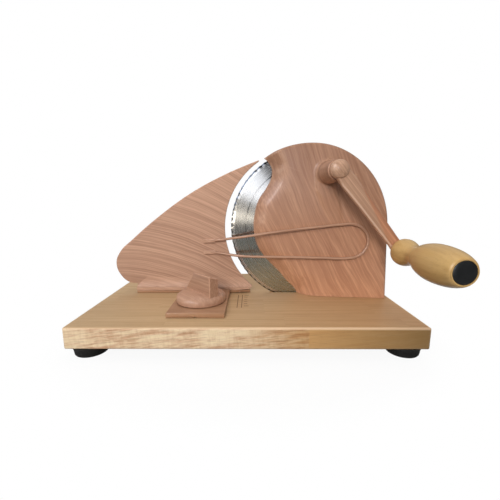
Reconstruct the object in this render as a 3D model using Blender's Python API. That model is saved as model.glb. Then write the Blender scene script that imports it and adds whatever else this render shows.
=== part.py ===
"""Hand crank bread slicer: a round blade on a wooden board, turned by a crank through two gears.

Lengths are metres. X runs along the board, Y points away from the user and Z is up.
The user stands on the -Y side and turns the crank there, and the loaf lies on the +Y side.
Pieces on a horizontal axis are modelled along their own +Z, which points at the user.
"""
import math

import bmesh
import bpy
from mathutils import Matrix, Vector

# Fits
SEAT_GAP = 0.0003
RUNNING_GAP = 0.0004
BORE_GAP = 0.0003

# Board and feet
BOARD_LENGTH = 0.350
BOARD_DEPTH = 0.206
BOARD_THICKNESS = 0.022
BOARD_EDGE_ROUND = 0.0016
FOOT_HEIGHT = 0.010
FOOT_RADIUS = 0.0172
FOOT_TIP_RADIUS = 0.0158
FOOT_INSET = 0.0175

# Blade and its axle
BLADE_Y = 0.007
BLADE_RADIUS = 0.0955
BLADE_DIP = 0.0104
BLADE_THICKNESS = 0.0012
BLADE_EDGE_THICKNESS = 0.0004
BEVEL_WIDTH = 0.0052
STEP_RADIUS = 0.0764
STEP_HEIGHT = 0.0003
WAVE_COUNT = 40
WAVE_HEIGHT = 0.0005
AXLE_RADIUS = 0.004
AXLE_SEAT_LENGTH = 0.0085
AXLE_CHAMFER = 0.0006
RETAINER_RADIUS = 0.012
RETAINER_HEIGHT = 0.0012
RETAINER_BOLT_RADIUS = 0.0025
RETAINER_BOLT_LENGTH = 0.009
RETAINER_SLOT_WIDTH = 0.0016
RETAINER_SLOT_DEPTH = 0.0006
RIVET_COUNT = 4
RIVET_CIRCLE = 0.024
RIVET_RADIUS = 0.0015
RIVET_HEAD_RADIUS = 0.0030
RIVET_HEAD_HEIGHT = 0.0008
SLOT_WIDTH = 0.0036
SLOT_MARGIN = 0.0024

# Gears
GEAR_MODULE = 0.002
WHEEL_TEETH = 51
PINION_TEETH = 17
TOOTH_WIDTH = 0.0056
PINION_WIDTH = 0.0052
PRESSURE_ANGLE = math.radians(20.0)
BACKLASH = 0.0004
WHEEL_WEB = 0.0024
WHEEL_RIM = 0.0035
CRANK_BEARING = math.radians(72.6)

# Housing, measured from the blade's axis and from its middle plane
HOUSING_INSET = 0.0013
RIM_GAP = 0.0039
WALL = 0.0026
THINNEST = 0.0004
RIM_BACK = 0.002
DEFLECTOR_BACK = 0.003
DEFLECTOR_LIP = 0.0012
FACE_DEPTH = 0.0177
FACE_SLOPE = 0.075
SIDE_DRAFT = 0.0078
DRAFT_START = 0.010
RIM_ROUND = 0.0032
CROWN_WIDTH = 0.024
PAD_HEIGHT = 0.0025
PAD_RADIUS = 0.015
BARREL_LENGTH = 0.055
BARREL_ROOT_RADIUS = 0.0125
BARREL_TIP_RADIUS = 0.0108
LUG_RADIUS = 0.0055
LUG_HEIGHT = 0.022
LUG_DEPTH = 0.012
LUG_OFFSETS = (0.024, 0.054, 0.084)

# Crank and handle
SHAFT_RADIUS = 0.004
SHAFT_HEAD_RADIUS = 0.0062
SHAFT_HEAD_THICKNESS = 0.0007
SHAFT_THREAD_RADIUS = 0.003
SHAFT_FLAT = 0.0031
BUSH_WALL = 0.0021
BUSH_FLANGE = 0.0022
BUSH_FLANGE_THICKNESS = 0.0009
BUSH_LENGTH = 0.011
CRANK_RADIUS = 0.1086
CRANK_REST = math.radians(-50.9)
ARM_THICKNESS = 0.0075
ARM_HUB_RADIUS = 0.0103
ARM_ROOT_WIDTH = 0.0168
ARM_TIP_WIDTH = 0.0118
ARM_EDGE_ROUND = 0.0016
ARM_RECESS_RADIUS = 0.0066
ARM_RECESS_DEPTH = 0.0046
NUT_WIDTH = 0.010
CRANK_NUT_HEIGHT = 0.0029
HANDLE_NUT_HEIGHT = 0.0040
HANDLE_WASHER_RADIUS = 0.0066
HANDLE_WASHER_THICKNESS = 0.0010
CAP_RADIUS = 0.0096
CAP_HEIGHT = 0.0040
CAP_PLUG_RADIUS = 0.0062
CAP_PLUG_LENGTH = 0.0010
CAP_PLUG_WALL = 0.0012
HANDLE_LENGTH = 0.0927
BALL_RADIUS = 0.0140
NECK_RADIUS = 0.0092
BELLY_RADIUS = 0.0169
HANDLE_END_RADIUS = 0.0118
HANDLE_CAP_RADIUS = 0.0093
HANDLE_CAP_THICKNESS = 0.0020
CAP_DOME = 0.0007
HANDLE_WELL_RADIUS = 0.0080
HANDLE_PLUG_WALL = 0.0015
HANDLE_PLUG_LENGTH = 0.0030
SPINDLE_RADIUS = 0.003
SPINDLE_RECESS = 0.015
SPINDLE_HEAD_RADIUS = 0.0046
SPINDLE_HEAD_HEIGHT = 0.0020
SPINDLE_END = 0.0012

# Fence, its carriage and the wire guard
FENCE_INSET = 0.032
FENCE_BULGE = 0.0258
FENCE_THICKNESS = 0.003
FENCE_ARC_GAP = 0.003
FENCE_ARC_OFFSET_X = -0.0043
FENCE_ARC_OFFSET_Z = -0.0010
FENCE_TIP_BEARING = math.radians(124.47)
FENCE_TIP_WIDTH = 0.00133
FENCE_FOOT_SHORT = 0.0014
FENCE_FOOT_TOP = 0.0118
FENCE_FOOT_ROUND = 0.003
FENCE_FOOT_DEPTH = 0.0066
FENCE_FOOT_HEIGHT = 0.0078
COVE_HEIGHT = 0.013
STRIP_HEIGHT = 0.0037
TONGUE_WIDTH = 0.0602
TONGUE_LENGTH = 0.0802
TONGUE_THICKNESS = 0.0054
NOTCH_RADIUS = 0.0016
NOTCH_HEIGHT = 0.0014
FENCE_TRAVEL = 0.015
WIRE_RADIUS = 0.0015
WIRE_TOP = 0.0905
WIRE_BOTTOM = 0.0502
WIRE_END_INSET = 0.0312
WIRE_STANDOFF = 0.0059
PRONG_INSET = 0.0277
PRONG_HIGH = 0.0680
PRONG_LOW = 0.0536
PRONG_START = 0.004
PRONG_OFFSET = 0.0016
PRONG_BLOCK_LENGTH = 0.0155
PRONG_BLOCK_HEIGHT = 0.0056
PRONG_BLOCK_DEPTH = 0.0034

# Clamp
KNOB_REACH = 0.1271
KNOB_Y = -0.040
KNOB_RADIUS = 0.028
KNOB_RIM_HEIGHT = 0.0042
KNOB_BASE_HEIGHT = 0.0110
KNOB_TOP = 0.0322
GRIP_THICKNESS = 0.0118
GRIP_LENGTH = 0.049
GRIP_CREST = 0.030
GRIP_TURN = math.radians(134.0)
GRIP_FOOT = 0.004
GRIP_ROUND = 0.0008
INSERT_WIDTH = 0.0112
INSERT_CREST = 0.0020
CLAMP_BOLT_RADIUS = 0.003
CLAMP_BOLT_HEAD_RADIUS = 0.0060
CLAMP_BOLT_HEAD_HEIGHT = 0.0034
CLAMP_BOLT_GRIP = 0.0080
GUIDE_WIDTH = 0.0096
GUIDE_LENGTH = 0.016
GUIDE_DEPTH = 0.005
RECESS_WIDTH = 0.0200
RECESS_DEPTH = 0.009
RECESS_SPARE = 0.002
WASHER_RADIUS = 0.009
WASHER_THICKNESS = 0.0015

# Fasteners
FOOT_SCREW_RADIUS = 0.0018
FOOT_SCREW_HEAD = 0.0042
FOOT_SCREW_HEAD_HEIGHT = 0.0024
FOOT_SCREW_LENGTH = 0.016
HOUSING_SCREW_RADIUS = 0.002
HOUSING_SCREW_HEAD = 0.0042
HOUSING_SCREW_HEAD_HEIGHT = 0.0026
HOUSING_SCREW_SINK = 0.008
HOUSING_SCREW_GRIP = 0.012
FENCE_SCREW_RADIUS = 0.0012
FENCE_SCREW_HEAD = 0.0022
FENCE_SCREW_HEAD_HEIGHT = 0.0014
FENCE_SCREW_SINK = 0.0005
FENCE_SCREW_LENGTH = 0.009
FENCE_SCREW_LEFT_INSET = 0.015
FENCE_SCREW_SPACING = 0.028
FENCE_SCREW_RIGHT_INSET = 0.0163

# How far a cutter reaches past the solid that it cuts
OVERCUT = 0.001

# Places that follow from the sizes above
BOARD_BOTTOM = FOOT_HEIGHT + SEAT_GAP
BOARD_TOP = BOARD_BOTTOM + BOARD_THICKNESS
RIM_RADIUS = BLADE_RADIUS + RIM_GAP
BLADE_X = BOARD_LENGTH / 2 - HOUSING_INSET - RIM_RADIUS
BLADE_HEIGHT = BLADE_RADIUS - BLADE_DIP
BLADE_Z = BOARD_TOP + BLADE_HEIGHT
HOUSING_FOOT = SEAT_GAP - BLADE_HEIGHT
WHEEL_PITCH_RADIUS = GEAR_MODULE * WHEEL_TEETH / 2
PINION_PITCH_RADIUS = GEAR_MODULE * PINION_TEETH / 2
GEAR_DISTANCE = WHEEL_PITCH_RADIUS + PINION_PITCH_RADIUS
CRANK_OFFSET = Vector((math.cos(CRANK_BEARING), math.sin(CRANK_BEARING), 0)) * GEAR_DISTANCE
CRANK_X = BLADE_X + CRANK_OFFSET.x
CRANK_Z = BLADE_Z + CRANK_OFFSET.y
BLADE_FRONT = BLADE_THICKNESS / 2
BLADE_BACK = -BLADE_THICKNESS / 2
WHEEL_BACK = BLADE_FRONT + SEAT_GAP
WHEEL_FRONT = WHEEL_BACK + TOOTH_WIDTH
SHAFT_HEAD_BACK = BLADE_FRONT + SEAT_GAP
SHAFT_HEAD_FRONT = SHAFT_HEAD_BACK + SHAFT_HEAD_THICKNESS
PINION_BACK = SHAFT_HEAD_FRONT + SEAT_GAP
PINION_FRONT = PINION_BACK + PINION_WIDTH
CRANK_BOSS_BACK = PINION_FRONT + 2 * SEAT_GAP + BUSH_FLANGE_THICKNESS + SEAT_GAP
BUSH_RADIUS = SHAFT_RADIUS + RUNNING_GAP + BUSH_WALL
ARM_BACK = BARREL_LENGTH + SEAT_GAP + BUSH_FLANGE_THICKNESS + RUNNING_GAP
ARM_FRONT = ARM_BACK + ARM_THICKNESS
HANDLE_BACK = ARM_FRONT + 2 * RUNNING_GAP
HANDLE_FRONT = HANDLE_BACK + HANDLE_LENGTH
HANDLE_CAP_CREST = HANDLE_FRONT + CAP_DOME
ARM_RECESS_FLOOR = ARM_FRONT - ARM_RECESS_DEPTH
KNOB_X = BLADE_X - KNOB_REACH
KNOB_BASE = TONGUE_THICKNESS + 2 * SEAT_GAP
CLAMP_BOLT_END = BOARD_TOP + KNOB_BASE + CLAMP_BOLT_GRIP
FENCE_ARC_RADIUS = BLADE_RADIUS + FENCE_ARC_GAP
FENCE_ARC_X = BLADE_X + FENCE_ARC_OFFSET_X
FENCE_ARC_HEIGHT = BLADE_HEIGHT + FENCE_ARC_OFFSET_Z
FENCE_BACK = BLADE_Y - BLADE_BACK
FENCE_FRONT = FENCE_BACK - FENCE_THICKNESS
FENCE_FOOT_FRONT = FENCE_BACK - FENCE_FOOT_DEPTH
FENCE_FOOT_LEFT = FENCE_INSET - BOARD_LENGTH / 2
FENCE_FOOT_RIGHT = FENCE_ARC_X - FENCE_FOOT_SHORT - math.sqrt(
    FENCE_ARC_RADIUS ** 2 - (FENCE_ARC_HEIGHT - FENCE_FOOT_HEIGHT) ** 2)
FENCE_FOOT_LOW = STRIP_HEIGHT + SEAT_GAP
FENCE_SCREW_Y = (FENCE_BACK + FENCE_FOOT_FRONT) / 2 + FENCE_SCREW_RADIUS / 2
PRONG_X = FENCE_ARC_X - FENCE_ARC_RADIUS - PRONG_INSET

# Colour as linear RGB, roughness and metallic value of each finish
WOOD_PRINT = ((0.462, 0.270, 0.178), 0.42, 0.0)
HARDWOOD = ((0.520, 0.340, 0.190), 0.55, 0.0)
TURNED_WOOD = ((0.497, 0.310, 0.115), 0.40, 0.0)
BLACK_RUBBER = ((0.012, 0.012, 0.012), 0.75, 0.0)
BLACK_PLASTIC = ((0.018, 0.020, 0.022), 0.50, 0.0)
BLADE_STEEL = ((0.560, 0.550, 0.530), 0.25, 1.0)
ZINC_STEEL = ((0.500, 0.500, 0.500), 0.35, 1.0)
BRONZE = ((0.480, 0.300, 0.120), 0.40, 1.0)
GEAR_NYLON = ((0.620, 0.600, 0.540), 0.45, 0.0)


def clear_scene():
    """Remove every object of the open scene."""
    for obj in list(bpy.data.objects):
        bpy.data.objects.remove(obj, do_unlink=True)


def material(name, finish):
    """Make a Principled material from a colour, a roughness and a metallic value."""
    colour, roughness, metallic = finish
    made = bpy.data.materials.new(name + "_finish")
    made.use_nodes = True
    shader = made.node_tree.nodes["Principled BSDF"]
    shader.inputs["Base Color"].default_value = (*colour, 1.0)
    shader.inputs["Roughness"].default_value = roughness
    shader.inputs["Metallic"].default_value = metallic
    return made


def empty(name, parent, location, turned_to_user=False):
    """Make an empty on a joint's axis; turned to the user, its own Z points along -Y."""
    made = bpy.data.objects.new(name, None)
    made.empty_display_size = 0.02
    made.parent = parent
    made.location = location
    made.rotation_euler.x = math.pi / 2 if turned_to_user else 0.0
    bpy.context.scene.collection.objects.link(made)
    return made


def mesh_object(name, bm):
    """Turn a bmesh into a linked object with outward faces and smooth rounds."""
    bmesh.ops.recalc_face_normals(bm, faces=bm.faces)
    mesh = bpy.data.meshes.new(name)
    bm.to_mesh(mesh)
    bm.free()
    made = bpy.data.objects.new(name, mesh)
    bpy.context.scene.collection.objects.link(made)
    return made


def place(obj, parent, finish, location=(0, 0, 0), turn=0.0):
    """Give a finished piece its parent, its place, its turn about Z and its material."""
    obj.parent = parent
    obj.location = location
    obj.rotation_euler.z = turn
    obj.data.materials.clear()
    obj.data.materials.append(material(obj.name, finish))
    obj.data.shade_smooth()
    obj.data.set_sharp_from_angle(angle=math.radians(32))
    return obj


def turned(name, profile, segments=24, bored=False):
    """Spin a profile of (radius, height) pairs about Z; a bored profile closes on itself."""
    bm = bmesh.new()
    verts = [bm.verts.new((radius, 0, height)) for radius, height in profile]
    pairs = list(zip(verts, verts[1:]))
    if bored:
        pairs.append((verts[-1], verts[0]))
    edges = [bm.edges.new(pair) for pair in pairs]
    bmesh.ops.spin(bm, geom=verts + edges, cent=(0, 0, 0), axis=(0, 0, 1), angle=2 * math.pi,
                   steps=segments, use_merge=True)
    bmesh.ops.remove_doubles(bm, verts=bm.verts, dist=1e-6)
    return mesh_object(name, bm)


def rod(name, radius, low, high, segments=24):
    """Make a plain cylinder along Z."""
    return turned(name, [(0, low), (radius, low), (radius, high), (0, high)], segments)


def tube(name, inner, outer, low, high, segments=24):
    """Make a plain ring or tube along Z."""
    profile = [(inner, low), (outer, low), (outer, high), (inner, high)]
    return turned(name, profile, segments, bored=True)


def prism(name, outline, low, high):
    """Extrude a flat outline of (x, y) pairs from one height to another."""
    bm = bmesh.new()
    base = bm.faces.new([bm.verts.new((x, y, low)) for x, y in outline])
    risen = bmesh.ops.extrude_face_region(bm, geom=[base])["geom"]
    tops = [item for item in risen if isinstance(item, bmesh.types.BMVert)]
    bmesh.ops.translate(bm, verts=tops, vec=(0, 0, high - low))
    return mesh_object(name, bm)


def block(name, low, high):
    """Make a box between two corners."""
    (x0, y0, z0), (x1, y1, z1) = low, high
    return prism(name, [(x0, y0), (x1, y0), (x1, y1), (x0, y1)], z0, z1)


def circle(radius, count, centre=(0, 0), start=0.0, sweep=2 * math.pi):
    """List points along a circle or an arc; an arc includes both of its ends."""
    steps = count if sweep >= 2 * math.pi else count - 1
    return [(centre[0] + radius * math.cos(start + sweep * i / steps),
             centre[1] + radius * math.sin(start + sweep * i / steps)) for i in range(count)]


def slot_outline(width, length, centre, count=8):
    """Outline a slot with round ends that runs along Y."""
    radius = width / 2
    reach = length / 2 - radius
    top = circle(radius, count, (centre[0], centre[1] + reach), 0.0, math.pi)
    bottom = circle(radius, count, (centre[0], centre[1] - reach), math.pi, math.pi)
    return top + bottom


def dee_outline(radius, flat, count=18):
    """Outline a round bar with one flat, which lies at y = flat."""
    edge = math.asin(flat / radius)
    return circle(radius, count, start=math.pi - edge, sweep=math.pi + 2 * edge)


def hexagon(across_flats):
    """Outline a hexagon by its width across flats."""
    return circle(across_flats / math.sqrt(3), 6)


def smooth_path(points, steps):
    """Run a Catmull-Rom curve through points of two or three coordinates."""
    points = [Vector(point) for point in points]
    ends = [2 * points[0] - points[1]] + points + [2 * points[-1] - points[-2]]
    path = []
    for before, start, end, after in zip(ends, ends[1:], ends[2:], ends[3:]):
        for step in range(steps):
            t = step / steps
            path.append(0.5 * (2 * start + (end - before) * t
                               + (2 * before - 5 * start + 4 * end - after) * t ** 2
                               + (3 * start - before - 3 * end + after) * t ** 3))
    return path + [points[-1]]


def carve(obj, tool, operation="DIFFERENCE"):
    """Cut with, join to or keep what is common with another solid, which is used up."""
    step = obj.modifiers.new("carve", "BOOLEAN")
    step.operation = operation
    step.solver = "EXACT"
    step.object = tool
    graph = bpy.context.evaluated_depsgraph_get()
    result = bpy.data.meshes.new_from_object(obj.evaluated_get(graph), depsgraph=graph)
    obj.modifiers.clear()
    old = obj.data
    obj.data = result
    result.name = obj.name
    bpy.data.meshes.remove(old)
    bpy.data.objects.remove(tool, do_unlink=True)
    return obj


def shift(obj, offset):
    """Move a solid's mesh before it is carved or placed."""
    obj.data.transform(Matrix.Translation(offset))
    return obj


def gear_outline(teeth):
    """Outline a spur gear with involute flanks and one tooth centred on +X."""
    pitch = GEAR_MODULE * teeth / 2
    base = pitch * math.cos(PRESSURE_ANGLE)
    tip = pitch + GEAR_MODULE * 0.95
    root = pitch - GEAR_MODULE * 1.25
    half_tooth = math.pi / (2 * teeth) - BACKLASH / (2 * pitch)
    flank_start = max(base, root)

    def involute(radius):
        roll = math.sqrt(max((radius / base) ** 2 - 1, 0))
        return roll - math.atan(roll)

    outline = []
    for tooth in range(teeth):
        centre = 2 * math.pi * tooth / teeth
        flank = []
        for radius in (flank_start, (flank_start + tip) / 2, tip):
            flank.append((radius, half_tooth + involute(pitch) - involute(radius)))
        if flank_start > root:
            flank.insert(0, (root, flank[0][1] + 0.1 * GEAR_MODULE / root))
        for radius, angle in flank:
            outline.append((radius * math.cos(centre - angle), radius * math.sin(centre - angle)))
        for radius, angle in reversed(flank):
            outline.append((radius * math.cos(centre + angle), radius * math.sin(centre + angle)))
    return outline


def screw(name, radius, head_radius, head_height, length, segments=12):
    """Make a screw that points along +Z, its head's top at z = 0, with a hexagon recess."""
    tip = head_height + length
    profile = [(0, 0), (head_radius * 0.8, 0), (head_radius, head_height * 0.35),
               (head_radius, head_height), (radius, head_height), (radius, tip - radius),
               (radius * 0.35, tip), (0, tip)]
    made = turned(name, profile, segments)
    return carve(made, prism("recess", hexagon(head_radius * 0.8), -0.001, head_height * 0.6))


def make_board(parent):
    """The bed: slots for the blade and the clamp, and holes for the screws from below."""
    half_length, half_depth = BOARD_LENGTH / 2, BOARD_DEPTH / 2
    board = block("base_board", (-half_length, -half_depth, BOARD_BOTTOM),
                  (half_length, half_depth, BOARD_TOP))
    bm = bmesh.new()
    bm.from_mesh(board.data)
    bmesh.ops.bevel(bm, geom=bm.edges, offset=BOARD_EDGE_ROUND, segments=2, profile=0.5,
                    affect="EDGES")
    bm.to_mesh(board.data)
    bm.free()
    reach = math.sqrt(BLADE_RADIUS ** 2 - BLADE_HEIGHT ** 2) + SLOT_MARGIN
    carve(board, block("cutter", (BLADE_X - reach, BLADE_Y - SLOT_WIDTH / 2,
                                  BOARD_TOP - BLADE_DIP - SLOT_MARGIN),
                       (BLADE_X + reach, BLADE_Y + SLOT_WIDTH / 2, BOARD_TOP + SLOT_MARGIN)))
    middle = (KNOB_X, KNOB_Y - FENCE_TRAVEL / 2)
    guide_slot = GUIDE_LENGTH + FENCE_TRAVEL + 2 * RUNNING_GAP
    carve(board, prism("cutter", slot_outline(GUIDE_WIDTH + 2 * RUNNING_GAP, guide_slot, middle),
                       0.0, BOARD_TOP + SLOT_MARGIN))
    recess = slot_outline(RECESS_WIDTH, RECESS_WIDTH + FENCE_TRAVEL + RECESS_SPARE, middle)
    carve(board, prism("cutter", recess, 0.0, BOARD_BOTTOM + RECESS_DEPTH))
    for x, y in foot_places():
        carve(board, shift(rod("cutter", FOOT_SCREW_RADIUS + BORE_GAP, 0.0,
                               FOOT_HEIGHT / 2 + FOOT_SCREW_LENGTH, 12), (x, y, 0)))
    for x, y in lug_places():
        hole = turned("cutter", [(0, 0), (HOUSING_SCREW_HEAD + BORE_GAP, 0),
                                 (HOUSING_SCREW_HEAD + BORE_GAP, BOARD_BOTTOM + HOUSING_SCREW_SINK),
                                 (HOUSING_SCREW_RADIUS + BORE_GAP,
                                  BOARD_BOTTOM + HOUSING_SCREW_SINK),
                                 (HOUSING_SCREW_RADIUS + BORE_GAP, BOARD_TOP + SLOT_MARGIN),
                                 (0, BOARD_TOP + SLOT_MARGIN)], 12)
        carve(board, shift(hole, (x, y, 0)))
    place(board, parent, HARDWOOD)


def foot_places():
    """Centres of the four feet: front left, front right, rear left, rear right."""
    x = BOARD_LENGTH / 2 - FOOT_INSET
    y = BOARD_DEPTH / 2 - FOOT_INSET
    return [(-x, -y), (x, -y), (-x, y), (x, y)]


def lug_places():
    """Centres of the housing's screw lugs on the board."""
    return [(BLADE_X + offset, BLADE_Y - LUG_DEPTH) for offset in LUG_OFFSETS]


def make_feet(parent):
    """Rubber feet with a sunk screw each."""
    names = ("front_left", "front_right", "rear_left", "rear_right")
    sink = FOOT_HEIGHT / 2
    bore = FOOT_SCREW_RADIUS + BORE_GAP
    well = FOOT_SCREW_HEAD + BORE_GAP
    profile = [(well, 0), (FOOT_TIP_RADIUS * 0.937, 0), (FOOT_TIP_RADIUS, FOOT_HEIGHT * 0.1),
               (FOOT_RADIUS * 0.953, FOOT_HEIGHT * 0.55), (FOOT_RADIUS, FOOT_HEIGHT * 0.8),
               (FOOT_RADIUS, FOOT_HEIGHT), (bore, FOOT_HEIGHT), (bore, sink), (well, sink)]
    head = FOOT_SCREW_HEAD_HEIGHT
    for number, (name, (x, y)) in enumerate(zip(names, foot_places()), 1):
        foot = turned("foot_" + name, profile, 20, bored=True)
        place(foot, parent, BLACK_RUBBER, (x, y, 0))
        fixing = screw("foot_screw_%d" % number, FOOT_SCREW_RADIUS, FOOT_SCREW_HEAD, head,
                       FOOT_SCREW_LENGTH)
        place(fixing, parent, ZINC_STEEL, (x, y, sink - SEAT_GAP - head))


def deflector_edge():
    """The housing's S-shaped left edge, from its hook at the top down to the board.

    The curve is listed in rim radiuses across and upwards, and below the axis in drops to
    the board.
    """
    def spread(x, z):
        return RIM_RADIUS * x, (RIM_RADIUS if z > 0 else -HOUSING_FOOT) * z

    hook = math.radians(123.2)
    curve = smooth_path([spread(*point) for point in (
        (math.cos(hook), math.sin(hook)), (-0.5080, 0.8048), (-0.4557, 0.7264),
        (-0.4507, 0.6288), (-0.5121, 0.4909), (-0.6107, 0.3390), (-0.6590, 0.1610),
        (-0.6700, -0.0236), (-0.6288, -0.2476), (-0.5483, -0.4068), (-0.3380, -0.6710))], 3)
    straight = [spread(*point) for point in ((-0.2304, -0.8172), (-0.1258, -0.9434),
                                             (FOOT_EDGE_SHARE, -1.0))]
    return [tuple(point) for point in curve] + straight


def rim_edge():
    """The housing's right side and round top, from the board up and over to the hook."""
    side = [(RIM_RADIUS, HOUSING_FOOT * share) for share in (1.0, 0.66, 0.33)]
    return side + circle(RIM_RADIUS, 23, sweep=math.radians(118.8))


# Where the deflector's edge meets the board, in rim radiuses left of the blade's axis
FOOT_EDGE_SHARE = -0.1056


def base_edge():
    """Points between the housing's two lower corners, along the board."""
    left, right = RIM_RADIUS * FOOT_EDGE_SHARE, RIM_RADIUS
    return [(left + (right - left) * share, HOUSING_FOOT)
            for share in (0.15, 0.32, 0.5, 0.66, 0.8, 0.9)]


def to_line(point, line):
    """Shortest distance from a point to a run of points."""
    best = math.inf
    for start, end in zip(line, line[1:]):
        start, end = Vector(start), Vector(end)
        along = end - start
        share = max(0.0, min(1.0, (point - start).dot(along) / along.length_squared))
        best = min(best, (point - start - along * share).length)
    return best


def ramp(value, table):
    """Read a value off a table of (input, output) pairs."""
    for (low, low_out), (high, high_out) in zip(table, table[1:]):
        if value <= high:
            return low_out + (high_out - low_out) * max(value - low, 0) / (high - low)
    return table[-1][1]


def face_height(x):
    """Height of the housing's main face over the blade's middle plane."""
    return FACE_DEPTH + FACE_SLOPE * x


def drafted(point):
    """Where a point lies across the front, as the right side leans inwards, less so low down."""
    lean = SIDE_DRAFT * (1 - 0.45 * min(max(-point.y / BLADE_HEIGHT, 0.0), 1.0))
    return point.x - lean * max(point.x - DRAFT_START, 0.0) / (RIM_RADIUS - DRAFT_START)


def housing_height(point, deflector, rim):
    """Height of the housing's skin: a crowned ramp off the deflector and a rounded rim."""
    face = face_height(point.x)
    crown = max(DEFLECTOR_BACK + DEFLECTOR_LIP, FACE_DEPTH * ramp(
        to_line(point, deflector) / CROWN_WIDTH,
        [(0.0, 0.2373), (0.1875, 0.4633), (0.375, 0.6554), (0.5625, 0.8023), (1.0, 1.0169),
         (1.6667, 1.2994), (2.9167, 2.2599)]))
    short = max(RIM_ROUND - to_line(point, rim), 0.0)
    rounded = face - RIM_ROUND + math.sqrt(max(RIM_ROUND ** 2 - short ** 2, 0.0))
    return min(face, crown, rounded)


def housing_shell(name):
    """Build the housing's shell: an outer and an inner skin, joined round the open back.

    Rings of points run round the outline and close in on a middle point, and each point is
    raised to the skin's height there. The inner skin can do with every second ring.
    """
    deflector, rim, base = deflector_edge(), rim_edge(), base_edge()
    outline = [Vector(point) for point in rim + deflector + base]
    count = len(outline)
    middle = Vector((0.2817, 0.5030)) * RIM_RADIUS
    backs, rays = [], []
    for index, point in enumerate(outline):
        if index < len(rim):
            behind = -RIM_BACK
        elif index < len(rim) + len(deflector):
            behind = DEFLECTOR_BACK
        else:
            behind = ramp(point.x / RIM_RADIUS, [(0.5634, DEFLECTOR_BACK), (0.8048, -RIM_BACK)])
        backs.append(behind)
        along = outline[(index + 1) % count] - outline[index - 1]
        inward = Vector((-along.y, along.x)).normalized()
        ray = middle - point
        rays.append((ray, max(ray.normalized().dot(inward), 0.3) * ray.length))
    bm = bmesh.new()

    def join(lower, upper):
        for index in range(count):
            after = (index + 1) % count
            bm.faces.new((lower[index], lower[after], upper[after], upper[index]))

    def skin(inset, every):
        depths = [0.0, RIM_ROUND * 0.28, RIM_ROUND] + [
            RIM_RADIUS * share for share in (0.0654, 0.0956, 0.1358, 0.2414, 0.4024)]
        caps = (0.0, 0.03, 0.08, 0.14, 0.2, 0.28, 0.42, 0.62)[::every]
        rings = [[]]
        for depth, cap in zip(depths[::every], caps):
            ring = []
            for point, (ray, reach), behind in zip(outline, rays, backs):
                share = min(inset / reach, 0.062) + min(depth / reach, cap)
                at = point + ray * share
                if depth == 0:
                    rings[0].append(bm.verts.new((at.x, at.y, behind)))
                height = housing_height(at, deflector, rim) - inset
                ring.append(bm.verts.new((drafted(at), at.y, max(height, behind + THINNEST))))
            rings.append(ring)
        for lower, upper in zip(rings, rings[1:]):
            join(lower, upper)
        tip = bm.verts.new((*middle, face_height(middle.x) - inset))
        for index in range(count):
            bm.faces.new((rings[-1][index], rings[-1][(index + 1) % count], tip))
        return rings[0]

    join(skin(0.0, 1), skin(WALL, 2))
    return mesh_object(name, bm)


def pad_solid():
    """The raised drop-shaped pad round the crank's barrel, which fades out downwards."""
    discs = ((CRANK_OFFSET, PAD_RADIUS, 1.0),
             (Vector((0.2765, 0.6912, 0)) * GEAR_DISTANCE, PAD_RADIUS * 0.7667, 0.8),
             (Vector((0.4926, 0.0441, 0)) * GEAR_DISTANCE, PAD_RADIUS * 0.3333, 0.1))
    bm = bmesh.new()
    for centre, radius, share in discs:
        for spread, height in ((0.64, -WALL / 2), (0.32, PAD_HEIGHT * share * 0.6),
                               (-0.48, PAD_HEIGHT * share)):
            for x, y in circle(radius + spread * PAD_HEIGHT, 20, centre):
                bm.verts.new((x, y, face_height(x) + height))
    hull = bmesh.ops.convex_hull(bm, input=bm.verts)
    loose = [item for item in hull["geom_interior"] if isinstance(item, bmesh.types.BMVert)]
    bmesh.ops.delete(bm, geom=loose, context="VERTS")
    return mesh_object("pad", bm)


def make_housing(parent):
    """The moulded cover: thin shell, pad, crank barrel, axle boss and screw lugs."""
    housing = housing_shell("gear_housing")
    carve(housing, pad_solid(), "UNION")
    bottom = HOUSING_FOOT
    face = face_height(0.0)
    rooted = WALL * 0.4
    carve(housing, rod("boss", AXLE_RADIUS * 2.3, WHEEL_FRONT + 4 * SEAT_GAP, face - rooted),
          "UNION")
    crank_face = face_height(CRANK_OFFSET.x)
    barrel = turned("barrel", [
        (0, CRANK_BOSS_BACK), (BARREL_TIP_RADIUS, CRANK_BOSS_BACK),
        (BARREL_TIP_RADIUS, crank_face - rooted), (BARREL_ROOT_RADIUS, crank_face - rooted),
        (BARREL_ROOT_RADIUS, crank_face + PAD_HEIGHT), (BARREL_TIP_RADIUS, BARREL_LENGTH),
        (0, BARREL_LENGTH)], 28)
    carve(housing, shift(barrel, CRANK_OFFSET), "UNION")
    for offset in LUG_OFFSETS:
        lug = block("lug", (offset - LUG_RADIUS, bottom + 2 * SEAT_GAP, LUG_DEPTH - LUG_RADIUS),
                    (offset + LUG_RADIUS, bottom + LUG_HEIGHT,
                     face_height(offset) - WALL * 0.5))
        carve(housing, lug, "UNION")
    axle_seat = face - AXLE_SEAT_LENGTH - WALL * 0.5
    carve(housing, rod("cutter", AXLE_RADIUS + BORE_GAP, axle_seat - AXLE_SEAT_LENGTH,
                       face - WALL * 0.5))
    bush_bore = BUSH_RADIUS + BORE_GAP
    carve(housing, shift(rod("cutter", bush_bore, 0.0, BARREL_LENGTH + OVERCUT), CRANK_OFFSET))
    for offset in LUG_OFFSETS:
        hole = rod("cutter", HOUSING_SCREW_RADIUS + BORE_GAP, -OVERCUT,
                   HOUSING_SCREW_GRIP + BORE_GAP, 12)
        hole.data.transform(Matrix.Rotation(-math.pi / 2, 4, "X"))
        carve(housing, shift(hole, (offset, bottom, LUG_DEPTH)))
    place(housing, parent, WOOD_PRINT)


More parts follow.
